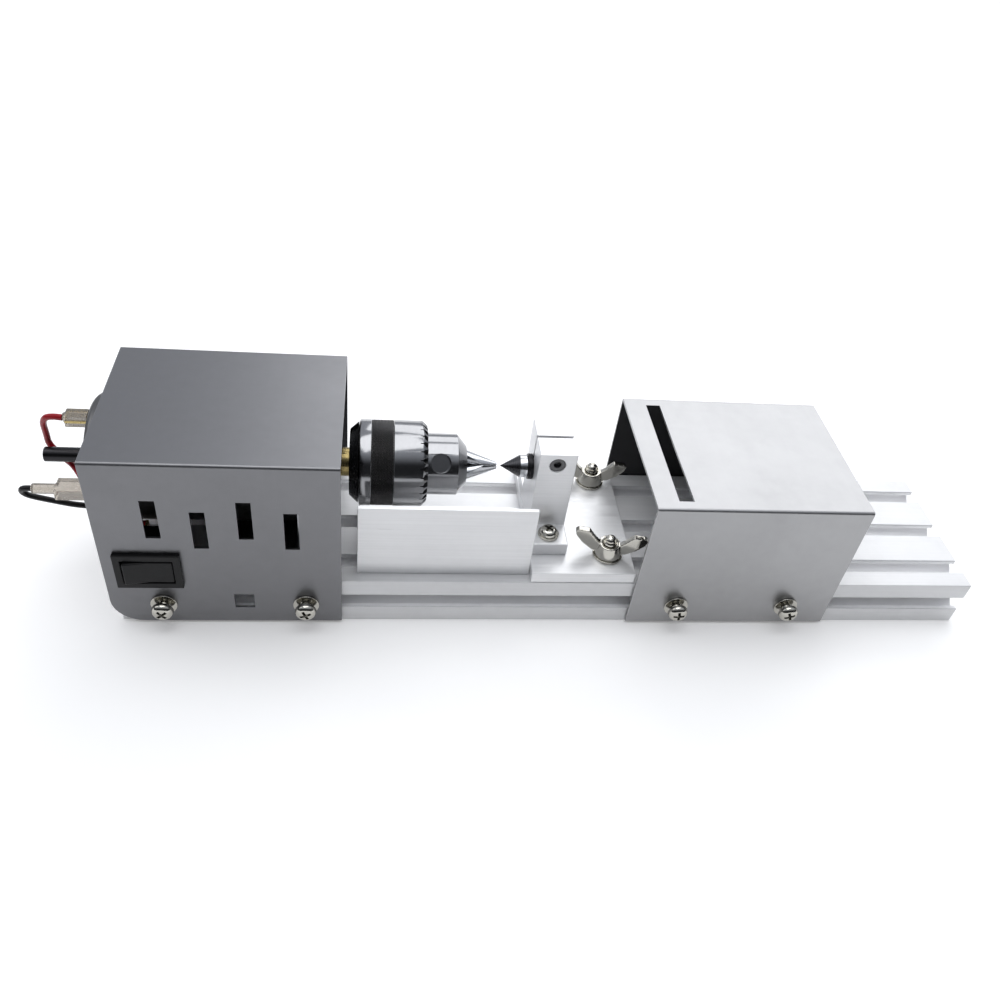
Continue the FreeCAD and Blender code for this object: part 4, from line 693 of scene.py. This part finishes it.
def screws_tree():
    tree, given, result = new_tree("screws", "GeometryNodeTree", [
        ("Places", "geometry", None), ("Head Radius", "float", 3.6 * MM),
        ("Head Height", "float", 2.6 * MM), ("Head Sides", "int", 40), ("Recess", "bool", True),
        ("Shank Radius", "float", 2.0 * MM), ("Shank Length", "float", 8.0 * MM),
        ("Pitch", "float", 0.7 * MM), ("Least Turn", "float", 0.0), ("Most Turn", "float", math.tau),
        ("Seed", "int", 4), ("Material", "material", None),
    ], [("Screws", "geometry")])
    wide, high, shank, long = (given[name] for name in (
        "Head Radius", "Head Height", "Shank Radius", "Shank Length"))
    inward = calc(tree, "MULTIPLY", wide, -1.0)
    up = calc(tree, "MULTIPLY", high, -1.0)
    profile = join(
        tree,
        arch(tree, vector(tree), vector(tree, 0.0, calc(tree, "MULTIPLY", up, DOME)),
             vector(tree, calc(tree, "MULTIPLY", inward, 0.5), up), vector(tree, inward, up)),
        straight(tree, vector(tree), vector(tree, inward)))
    head = revolve(tree, profile, wide, given["Head Sides"])

    arm = calc(tree, "MULTIPLY", wide, ARM_LENGTH)
    slot = calc(tree, "MULTIPLY", wide, ARM_WIDTH)
    level = calc(tree, "MULTIPLY", high, ARM_LEVEL)
    pit = add(tree, "GeometryNodeMeshCone", {
        "Vertices": 16, "Radius Top": calc(tree, "MULTIPLY", wide, PIT_MOUTH),
        "Radius Bottom": calc(tree, "MULTIPLY", wide, PIT_FLOOR), "Depth": high}).outputs[0]
    pit = add(tree, "GeometryNodeTransform", {
        "Geometry": pit,
        "Translation": vector(tree, 0.0, 0.0, calc(tree, "MULTIPLY", high, PIT_LEVEL))}).outputs[0]
    cutter = join(tree, block(tree, arm, slot, high, level), block(tree, slot, arm, high, level), pit)
    recessed = add(tree, "GeometryNodeMeshBoolean", {
        "Mesh 1": head, "Mesh 2": cutter, "Self Intersection": True},
        operation="DIFFERENCE", solver="EXACT").outputs[0]
    head = add(tree, "GeometryNodeSwitch", {
        "Switch": given["Recess"], "False": head, "True": recessed}, input_type="GEOMETRY").outputs[0]

    core = calc(tree, "SUBTRACT", shank, calc(tree, "MULTIPLY", given["Pitch"], 0.5))
    centre = calc(tree, "MULTIPLY", core, -1.0)
    root = calc(tree, "MULTIPLY", high, -0.25)
    shoulder = calc(tree, "SUBTRACT", long, calc(tree, "MULTIPLY", core, TIP_LENGTH))
    stem = revolve(tree, join(
        tree, straight(tree, vector(tree, centre, root), vector(tree, 0.0, root)),
        straight(tree, vector(tree, 0.0, root), vector(tree, 0.0, shoulder)),
        arch(tree, vector(tree, 0.0, shoulder),
             vector(tree, 0.0, calc(tree, "SUBTRACT", long, calc(tree, "MULTIPLY", core, TIP_HANDLE))),
             vector(tree, calc(tree, "MULTIPLY", centre, 0.5), long), vector(tree, centre, long))),
        core, 28)
    thread_length = calc(tree, "SUBTRACT", shoulder, 0.2 * MM)
    ridge = calc(tree, "MULTIPLY", given["Pitch"], RIDGE)
    thread_middle = calc(tree, "SUBTRACT", shank, ridge)
    winding = add(tree, "GeometryNodeCurveSpiral", {
        "Resolution": 24, "Rotations": calc(tree, "DIVIDE", thread_length, given["Pitch"]),
        "Start Radius": thread_middle, "End Radius": thread_middle, "Height": thread_length}).outputs[0]
    diamond = add(tree, "GeometryNodeCurvePrimitiveCircle", {"Resolution": 4, "Radius": ridge}).outputs[0]
    wound = add(tree, "GeometryNodeCurveToMesh", {
        "Curve": winding, "Fill Caps": True, "Profile Curve": diamond}).outputs[0]
    wound = add(tree, "GeometryNodeTransform", {
        "Geometry": wound,
        "Translation": vector(tree, 0.0, 0.0, calc(tree, "MULTIPLY", shoulder, -1.0))}).outputs[0]

    facing = add(
        tree, "GeometryNodeInputNamedAttribute", {"Name": "facing"}, data_type="FLOAT_VECTOR").outputs[0]
    upright = add(tree, "FunctionNodeAlignRotationToVector", {"Vector": facing}, axis="Z").outputs[0]
    chance = add(tree, "FunctionNodeRandomValue", {
        2: given["Least Turn"], 3: given["Most Turn"], 8: given["Seed"]}, data_type="FLOAT").outputs[1]
    spin = add(tree, "FunctionNodeAxisAngleToRotation", {
        "Axis": (0.0, 0.0, 1.0), "Angle": chance}).outputs[0]
    turned = add(tree, "FunctionNodeRotateRotation", {
        "Rotation": upright, "Rotate By": spin}, rotation_space="LOCAL").outputs[0]
    screw = join(tree, head, stem, wound)
    placed = add(tree, "GeometryNodeInstanceOnPoints", {
        "Points": given["Places"], "Instance": screw, "Rotation": turned}).outputs[0]
    real = add(tree, "GeometryNodeRealizeInstances", {"Geometry": placed}).outputs[0]
    dressed = add(tree, "GeometryNodeSetMaterial", {
        "Geometry": real, "Material": given["Material"]}).outputs[0]
    tree.links.new(dressed, result["Screws"])
    return tree


SCREWS = screws_tree()
print("screw tree of", len(SCREWS.nodes), "nodes")

# %% [markdown]
# ## Where the screws stand
#
# The CAD model already has every screw as a plain solid.  Each solid's box gives the place, the length
# and the outer end.  So the fine screws stand exactly where the plain ones did, and a changed pack moves
# them too.  The wing nuts' bolts have a thin square head that hides in the bed's slot, and all of those
# heads are turned alike, to fit it.


# %% Put the screws in
def loose_boxes(node):
    """The boxes of the separate solids in one CAD node."""
    work = bmesh.new()
    work.from_mesh(NODES[node].data)
    bmesh.ops.remove_doubles(work, verts=work.verts, dist=WELD)
    waiting = set(work.verts)
    boxes = []
    while waiting:
        front = [waiting.pop()]
        found = []
        while front:
            vert = front.pop()
            found.append(tuple(vert.co))
            for edge in vert.link_edges:
                other = edge.other_vert(vert)
                if other in waiting:
                    waiting.remove(other)
                    front.append(other)
        columns = list(zip(*found))
        boxes.append((Vector([min(column) for column in columns]),
                      Vector([max(column) for column in columns])))
    work.free()
    return sorted(boxes, key=lambda ends: tuple(round(number, 6) for number in ends[0]))


def host_points(name, places, facings):
    mesh = bpy.data.meshes.new(name)
    mesh.from_pydata(places, [], [])
    facing = mesh.attributes.new("facing", "FLOAT_VECTOR", "POINT")
    for item, way in zip(facing.data, facings):
        item.vector = way
    return mesh


OUTWARDS, UPWARDS, DOWNWARDS = "outwards", (0, 0, 1), (0, 0, -1)
COVER_HEAD, BLOCK_HEAD, BOLT_HEAD = (3.6, 2.6), (3.2, 2.31), (7.3, 1.15)
# Each set: where its heads look, the head's radius and height, the shank's radius, the pitch, all in mm.
SCREW_SETS = {
    "headstock_cover_screws": (OUTWARDS, COVER_HEAD, 2.0, 0.7),
    "saw_table_cover_screws": (OUTWARDS, COVER_HEAD, 2.0, 0.7),
    "tool_rest_screws": (UPWARDS, COVER_HEAD, 2.0, 0.7),
    "bracket_screws": (UPWARDS, COVER_HEAD, 2.0, 0.7),
    "tail_block_screws": (UPWARDS, BLOCK_HEAD, 1.5, 0.5),
    "wing_bolts": (DOWNWARDS, BOLT_HEAD, 2.5, 0.8),
}
FIRST_SEED = 11
for seed, (node, (way, (wide, high), shank, pitch)) in enumerate(SCREW_SETS.items()):
    places, facings, lengths = [], [], []
    for low, top in loose_boxes(node):
        middle = (low + top) / 2
        facing = Vector((0, math.copysign(1, middle.y), 0)) if way == OUTWARDS else Vector(way)
        axis = max(range(3), key=lambda index: abs(facing[index]))
        outer = top[axis] if facing[axis] > 0 else low[axis]
        place = middle.copy()
        place[axis] = outer - facing[axis] * high * MM
        places.append(tuple(place))
        facings.append(tuple(facing))
        lengths.append(top[axis] - low[axis] - high * MM)
    bolt = node == "wing_bolts"
    least, most = (math.pi / 4, math.pi / 4) if bolt else (0.0, math.tau)
    mesh = grown_mesh(
        node + "_threaded", SCREWS, host_points(node + "_places", places, facings),
        **{"Head Radius": wide * MM, "Head Height": high * MM, "Head Sides": 4 if bolt else 40,
           "Recess": not bolt, "Shank Radius": shank * MM, "Shank Length": min(lengths),
           "Pitch": pitch * MM, "Least Turn": least, "Most Turn": most, "Seed": FIRST_SEED + seed,
           "Material": FINISHES["nickel"]})
    piece = stand_in(node + "_threaded", mesh, node, "nickel")
    print(piece.name, len(places), "screws,", len(mesh.polygons), "faces")

# %% [markdown]
# ## The chuck's sleeve
#
# A key turns the sleeve by bevel teeth cut into its front edge.  The blank is turned from a profile, as
# on a lathe.  A tree then lays slanting cutters round the axis and takes them away.  The grip band is
# knurled: a tree sets small four-sided points in staggered rows, so that they touch corner to corner as
# real knurling does.  The band is near black: partly the knurl's own dark finish, partly a painted dark
# reflection.


# %% Turned blanks
def turned_mesh(name, profile, sides=120):
    """A solid turned round the spindle's line from (place along X, radius) pairs; closed to a ring."""
    turns = [math.tau * step / sides for step in range(sides)]
    ring = [(math.cos(turn), math.sin(turn)) for turn in turns]
    verts = [(x, radius * across, AXIS_LEVEL + radius * rise)
             for x, radius in profile for across, rise in ring]
    faces = []
    for row in range(len(profile)):
        following = (row + 1) % len(profile)
        if profile[row][1] == 0 and profile[following][1] == 0:
            continue
        for step in range(sides):
            after = (step + 1) % sides
            faces.append((row * sides + step, row * sides + after,
                          following * sides + after, following * sides + step))
    work = bmesh.new()
    made = [work.verts.new(vert) for vert in verts]
    for face in faces:
        work.faces.new([made[index] for index in face])
    bmesh.ops.remove_doubles(work, verts=work.verts, dist=1e-7)
    bmesh.ops.recalc_face_normals(work, faces=work.faces)
    mesh = bpy.data.meshes.new(name)
    work.to_mesh(mesh)
    work.free()
    mesh.shade_smooth()
    mesh.set_sharp_from_angle(angle=math.radians(30))
    return mesh


def teeth_tree():
    tree, given, result = new_tree("bevel_teeth", "GeometryNodeTree", [
        ("Blank", "geometry", None), ("Teeth", "int", 31), ("Start", "vector", None),
        ("Radius", "float", 13.4 * MM), ("Width", "float", 2.0 * MM), ("Length", "float", 4.2 * MM),
        ("Slant", "float", math.radians(-65)), ("Material", "material", None),
    ], [("Sleeve", "geometry")])
    cutter = add(tree, "GeometryNodeMeshCone", {
        "Vertices": 4, "Radius Top": 0.0, "Radius Bottom": given["Width"],
        "Depth": given["Length"]}).outputs[0]
    cutter = add(tree, "GeometryNodeTransform", {
        "Geometry": cutter, "Translation": vector(tree, 0.0, 0.0, given["Radius"]),
        "Rotation": vector(tree, 0.0, given["Slant"], 0.0)}).outputs[0]
    points = add(tree, "GeometryNodePoints", {
        "Count": given["Teeth"], "Position": given["Start"]}).outputs[0]
    index = tree.nodes.new("GeometryNodeInputIndex").outputs[0]
    angle = calc(tree, "MULTIPLY", calc(tree, "DIVIDE", index, given["Teeth"]), math.tau)
    spin = add(tree, "FunctionNodeAxisAngleToRotation", {
        "Axis": (1.0, 0.0, 0.0), "Angle": angle}).outputs[0]
    placed = add(tree, "GeometryNodeInstanceOnPoints", {
        "Points": points, "Instance": cutter, "Rotation": spin}).outputs[0]
    cutters = add(tree, "GeometryNodeRealizeInstances", {"Geometry": placed}).outputs[0]
    cut = add(tree, "GeometryNodeMeshBoolean", {
        "Mesh 1": given["Blank"], "Mesh 2": cutters, "Self Intersection": True},
        operation="DIFFERENCE", solver="EXACT").outputs[0]
    dressed = add(tree, "GeometryNodeSetMaterial", {
        "Geometry": cut, "Material": given["Material"]}).outputs[0]
    tree.links.new(dressed, result["Sleeve"])
    return tree


def knurl_tree():
    tree, given, result = new_tree("knurling", "GeometryNodeTree", [
        ("Band", "geometry", None), ("Start", "vector", None), ("Radius", "float", 14.6 * MM),
        ("Rise", "float", 0.36 * MM), ("Half Pitch", "float", 0.49 * MM), ("Columns", "int", 96),
        ("Rows", "int", 15), ("Material", "material", None),
    ], [("Knurling", "geometry")])
    point = add(tree, "GeometryNodeMeshCone", {
        "Vertices": 4, "Radius Top": 0.0, "Radius Bottom": given["Half Pitch"],
        "Depth": given["Rise"]}).outputs[0]
    point = add(tree, "GeometryNodeTransform", {
        "Geometry": point, "Translation": vector(tree, 0.0, 0.0, given["Radius"])}).outputs[0]
    count = calc(tree, "MULTIPLY", given["Columns"], given["Rows"])
    index = tree.nodes.new("GeometryNodeInputIndex").outputs[0]
    row = calc(tree, "FLOOR", calc(tree, "DIVIDE", calc(tree, "ADD", index, 0.5), given["Columns"]))
    column = calc(tree, "ADD", index, calc(tree, "MULTIPLY", calc(tree, "MODULO", row, 2.0), 0.5))
    angle = calc(tree, "MULTIPLY", calc(tree, "DIVIDE", column, given["Columns"]), math.tau)
    along = vector(tree, calc(tree, "MULTIPLY", calc(tree, "ADD", row, 0.5), given["Half Pitch"]))
    place = add(tree, "ShaderNodeVectorMath", {0: given["Start"], 1: along}, operation="ADD").outputs[0]
    points = add(tree, "GeometryNodePoints", {"Count": count, "Position": place}).outputs[0]
    spin = add(tree, "FunctionNodeAxisAngleToRotation", {
        "Axis": (1.0, 0.0, 0.0), "Angle": angle}).outputs[0]
    placed = add(tree, "GeometryNodeInstanceOnPoints", {
        "Points": points, "Instance": point, "Rotation": spin}).outputs[0]
    real = add(tree, "GeometryNodeRealizeInstances", {
        "Geometry": join(tree, given["Band"], placed)}).outputs[0]
    dressed = add(tree, "GeometryNodeSetMaterial", {
        "Geometry": real, "Material": given["Material"]}).outputs[0]
    tree.links.new(dressed, result["Knurling"])
    return tree


# %% Sleeve and grip band
SLEEVE_RADIUS = (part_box("chuck_sleeve")[1][2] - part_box("chuck_sleeve")[0][2]) / 2
SLEEVE_BORE, NOSE_BORE = 12.4 * MM, 10.9 * MM
RING_END = SLEEVE_REAR + 20.4 * MM
BAND_REAR, BAND_FRONT = SLEEVE_REAR + 4.1 * MM, SLEEVE_REAR + 11.6 * MM
GROOVE = SLEEVE_RADIUS - 0.45 * MM
KNURL_RISE = 0.36 * MM
LIP = 0.2 * MM  # chamfer beside the band's groove
REAR_ROUND = 0.5 * MM
BEVEL_START, BEVEL_DROP = SLEEVE_FRONT - 1.9 * MM, 1.8 * MM  # the bevel that carries the teeth
CUTTER_START = SLEEVE_FRONT + 0.9 * MM

blank = turned_mesh("sleeve_blank", [
    (SLEEVE_REAR, SLEEVE_BORE), (SLEEVE_REAR, SLEEVE_RADIUS - REAR_ROUND),
    (SLEEVE_REAR + 0.3 * REAR_ROUND, SLEEVE_RADIUS - 0.3 * REAR_ROUND),
    (SLEEVE_REAR + REAR_ROUND, SLEEVE_RADIUS), (BAND_REAR - LIP, SLEEVE_RADIUS),
    (BAND_REAR, SLEEVE_RADIUS - LIP), (BAND_REAR, GROOVE), (BAND_FRONT, GROOVE),
    (BAND_FRONT, SLEEVE_RADIUS - LIP), (BAND_FRONT + LIP, SLEEVE_RADIUS),
    (BEVEL_START, SLEEVE_RADIUS), (BEVEL_START + 0.3 * MM, SLEEVE_RADIUS - 0.12 * MM),
    (SLEEVE_FRONT, SLEEVE_RADIUS - BEVEL_DROP), (SLEEVE_FRONT, NOSE_BORE), (RING_END, NOSE_BORE),
    (RING_END, SLEEVE_BORE)])
sleeve = grown_mesh("chuck_sleeve_toothed", teeth_tree(), blank, sharp=28.0, **{
    "Start": (CUTTER_START, 0.0, AXIS_LEVEL), "Material": FINISHES["toothed_chrome"]})
piece = stand_in("chuck_sleeve_toothed", sleeve, "chuck_sleeve", "toothed_chrome")
print(piece.name, len(sleeve.polygons), "faces")

band = turned_mesh("grip_band_base", [
    (BAND_REAR, GROOVE - 0.1 * MM), (BAND_REAR, GROOVE + 0.05 * MM), (BAND_FRONT, GROOVE + 0.05 * MM),
    (BAND_FRONT, GROOVE - 0.1 * MM)], 96)
# The knurled band's near-black colour is partly a painted dark reflection.
knurled = grown_mesh("chuck_grip_band", knurl_tree(), band, sharp=5.0, **{
    "Start": (BAND_REAR, 0.0, AXIS_LEVEL), "Radius": GROOVE + 0.03 * MM, "Rise": KNURL_RISE,
    "Material": FINISHES["knurl_dark_and_painted_reflection"]})
knurled.materials.clear()
knurled.materials.append(FINISHES["knurl_dark_and_painted_reflection"])
grip = link(bpy.data.objects.new("chuck_grip_band", knurled))
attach(grip, "chuck_sleeve")
print(grip.name, len(knurled.polygons), "faces")

# %% [markdown]
# ## The live centre's cone
#
# The cone is ground to a point, so it is turned again with a proper tip and a softened shoulder.

# %% Live centre
POINT_RADIUS = (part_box("centre_point")[1][2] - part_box("centre_point")[0][2]) / 2
COLLAR_END = CONE_END + 2.7 * MM
COLLAR_EDGE = 0.25 * MM
STUB_RADIUS = 1.5 * MM
point = turned_mesh("centre_point_ground", [
    (POINT_TIP, 0.0), (POINT_TIP + 0.06 * MM, 0.12 * MM), (CONE_END - 0.15 * MM, POINT_RADIUS - 0.1 * MM),
    (CONE_END + 0.1 * MM, POINT_RADIUS), (COLLAR_END - COLLAR_EDGE, POINT_RADIUS),
    (COLLAR_END, POINT_RADIUS - COLLAR_EDGE), (COLLAR_END, STUB_RADIUS), (POINT_END, STUB_RADIUS),
    (POINT_END, 0.0)])
piece = stand_in("centre_point_ground", point, "centre_point", "centre_steel")
print(piece.name, len(point.polygons), "faces")

# %% [markdown]
# ## Cast wing nuts and soft sleeves
#
# Wing nuts are cast or pressed, so nothing on them is sharp.  Two flat plates, drawn as an outline and
# given a thickness, first broaden the wings of the plain CAD shape.  Then a Remesh modifier rebuilds it
# as a fine even skin, and a Smooth modifier draws its edges round.  The vinyl sleeves of the push-on
# connectors are softened the same way, and the top one is made slimmer.


# %% Cast and moulded pieces
WING_TURNS = {"wing_nut_front": -12.0, "wing_nut_rear": -8.0}  # degrees, as in the CAD model
WING_METAL = 2.3 * MM
# Pairs of millimetres out from the nut's axis and up from its foot.
WING_OUTLINE = [(3.6, 1.0), (6.0, 1.2), (9.9, 4.0), (12.4, 7.0), (12.9, 8.9), (11.8, 9.9), (8.0, 9.8),
                (5.0, 6.2), (3.6, 5.0)]


def with_broad_wings(mesh, node):
    """Add to a wing nut's mesh two plates that widen its wings."""
    low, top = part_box(node)
    centre = Vector(((low[0] + top[0]) / 2, (low[1] + top[1]) / 2, low[2]))
    work = bmesh.new()
    work.from_mesh(mesh)
    for half_turn in (0.0, 180.0):
        turn = Matrix.Rotation(math.radians(WING_TURNS[node] + half_turn), 3, "Z")
        sides = [[work.verts.new(centre + turn @ Vector((x * MM, side * WING_METAL / 2, z * MM)))
                  for x, z in WING_OUTLINE] for side in (-1, 1)]
        work.faces.new(sides[0])
        work.faces.new(list(reversed(sides[1])))
        for index in range(len(WING_OUTLINE)):
            after = (index + 1) % len(WING_OUTLINE)
            work.faces.new((sides[0][after], sides[0][index], sides[1][index], sides[1][after]))
    bmesh.ops.recalc_face_normals(work, faces=work.faces)
    work.to_mesh(mesh)
    work.free()
    return mesh


def softened(node, finish, grain, passes, slimmer=1.0):
    """Replace a CAD node with a round-edged copy; grain is the size of its new faces in mm."""
    plain = merged_copy(node)
    if node in WING_TURNS:
        plain = with_broad_wings(plain, node)
    rough = link(bpy.data.objects.new(node + "_rough", plain))
    skin = rough.modifiers.new("skin", "REMESH")
    skin.mode = "VOXEL"
    skin.voxel_size = grain * MM
    smooth = rough.modifiers.new("smooth", "SMOOTH")
    smooth.factor = 0.5
    smooth.iterations = passes
    mesh = evaluated_mesh(rough, node + "_softened")
    bpy.data.objects.remove(rough)
    mesh.transform(Matrix.Diagonal((1.0, slimmer, 1.0, 1.0)))
    mesh.shade_smooth()
    return stand_in(node + "_softened", mesh, node, finish)


CAST = {
    "wing_nut_front": ("nickel", 0.24, 5), "wing_nut_rear": ("nickel", 0.24, 5),
    "red_connector": ("clear_sleeve", 0.25, 8, 0.62), "black_connector": ("clear_sleeve", 0.25, 8, 0.95),
}
for node, choices in CAST.items():
    softened(node, *choices)

# %% [markdown]
# ## The leads
#
# Three short leads join the motor, the switch and the power socket.  The CAD route of each lead is a
# list of points, repeated here in millimetres.  On the red lead's loop some are moved by a few
# millimetres and one is added, for a rounder bend of the same length.  A NURBS spline takes the points
# as control points, so the lead is one smooth curve.  The order is set after the points are there,
# because an empty spline refuses it.

# %% Leads
LEAD_DIAMETER = 2.1 * MM
RED_ROUTE = [
    (-170.1, 0, 64), (-174.6, 0.6, 64.2), (-177.6, 2.4, 60.5), (-178.4, 4.8, 53.5), (-179, 5.8, 48),
    (-174.4, 4, 43.6), (-169.2, -1.5, 44.2), (-165, -7, 39), (-162.2, -11, 32), (-157.4, -12.4, 27.4),
    (-151.7, -9.9, 26.4), (-147.3, -9.5, 26.6),
]
BLACK_ROUTE = [
    (-186.1, 0, 33), (-189.1, 0.2, 33), (-190.5, 1.2, 30.6), (-189.1, 1.9, 28.1), (-183.1, 1.2, 27),
    (-171.1, 1.5, 23.6), (-160.1, 4, 22.05), (-149.1, 9, 21.65), (-146.4, 15, 23.8), (-144.4, 21.4, 24.8),
]
SUPPLY_ROUTE = [
    (-138.7, -9.9, 26.6), (-138.3, -5.2, 25), (-138.7, 3, 22.45), (-138.2, 12, 22.65), (-140.2, 21.4, 25.4),
]


def lead(name, route, material):
    curve = bpy.data.curves.new(name, "CURVE")
    curve.dimensions = "3D"
    curve.bevel_depth = LEAD_DIAMETER / 2
    curve.bevel_resolution = 5
    curve.use_fill_caps = True
    spline = curve.splines.new("NURBS")
    spline.points.add(len(route) - 1)
    for point, place in zip(spline.points, route):
        point.co = (*[number * MM for number in place], 1.0)
    spline.order_u = 3
    spline.use_endpoint_u = True
    spline.resolution_u = 12
    curve.materials.append(material)
    return link(bpy.data.objects.new(name, curve))


LEADS = [
    ("red_lead", RED_ROUTE, "red_vinyl", 69.0, ["red_connector"]),
    ("black_lead", BLACK_ROUTE, "black_vinyl", 63.6, ["black_connector"]),
    ("supply_lead", SUPPLY_ROUTE, "red_vinyl", 32.4, []),
]
for name, route, slot, length, tips in LEADS:
    piece = lead(name + "_wire", route, FINISHES[slot])
    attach(piece, "bed")
    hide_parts(name)
    print(name, "of", length, "mm")

# %% [markdown]
# ## Finishes for what is left
#
# The solids that no new piece replaces keep their shape and only get the finish of their own slot.
# The replaced ones get it too, which nobody sees.

# %% Finish the remaining CAD nodes
for name, node in NODES.items():
    for slot in node.material_slots:
        slot.material = FINISHES[SLOT_OF[name]]
print(len(NODES), "nodes finished")

# %% [markdown]
# ## Floor and light
#
# The machine stands on a pale floor that glows a little, so that shadows stay soft.  A wide soft light
# stands behind it to the right, another hangs above it, and a weaker one stands at the left.  The room
# itself is bright overhead and behind and dim at the front, which gives polished metal dark bands to
# mirror.

# %% Floor and light
FLOOR_HALF = 4.0
floor_mesh = bpy.data.meshes.new("floor")
floor_mesh.from_pydata(
    [(-FLOOR_HALF, -FLOOR_HALF, 0), (FLOOR_HALF, -FLOOR_HALF, 0), (FLOOR_HALF, FLOOR_HALF, 0),
     (-FLOOR_HALF, FLOOR_HALF, 0)], [], [(0, 1, 2, 3)])
floor = link(bpy.data.objects.new("floor", floor_mesh))
floor_finish, _, floor_shader = fresh_material("pale_floor")
floor_shader.inputs["Base Color"].default_value = (0.93, 0.93, 0.93, 1.0)
floor_shader.inputs["Roughness"].default_value = 0.9
floor_shader.inputs["Emission Color"].default_value = (1.0, 0.985, 0.97, 1.0)
floor_shader.inputs["Emission Strength"].default_value = 0.2
floor_mesh.materials.append(floor_finish)


def softbox(name, place, target, width, height, power):
    light = bpy.data.lights.new(name, "AREA")
    light.shape = "RECTANGLE"
    light.size = width
    light.size_y = height
    light.energy = power
    box = link(bpy.data.objects.new(name, light))
    box.location = place
    box.rotation_euler = (Vector(target) - Vector(place)).to_track_quat("-Z", "Y").to_euler()
    return box


softbox("key", (0.45, 1.02, 0.84), (0.0, 0.0, 0.03), 1.4, 0.8, 7.0)
softbox("top", (-0.1, 0.1, 1.3), (-0.05, 0.0, 0.0), 1.2, 1.0, 8.0)
softbox("left", (-0.9, 0.1, 0.6), (-0.1, 0.0, 0.03), 0.5, 0.6, 0.8)

world = bpy.data.worlds.new("studio")
world.use_nodes = True
bpy.context.scene.world = world
room = world.node_tree
sky = add(room, "ShaderNodeTexCoord").outputs["Generated"]
way = add(room, "ShaderNodeSeparateXYZ", {0: sky}).outputs
height = calc(room, "ADD", calc(room, "MULTIPLY", way[2], 0.9), calc(room, "MULTIPLY", way[1], 0.5))
glow = add(room, "ShaderNodeMapRange", {
    "Value": height, "From Min": 0.05, "From Max": 0.7, "To Min": 0.04, "To Max": 0.7},
    interpolation_type="SMOOTHSTEP").outputs[0]
background = room.nodes["Background"]
background.inputs["Color"].default_value = (0.88, 0.92, 1.0, 1.0)
room.links.new(glow, background.inputs["Strength"])
bpy.context.scene.view_settings.view_transform = "Standard"
print("lit by three soft boxes and a room")
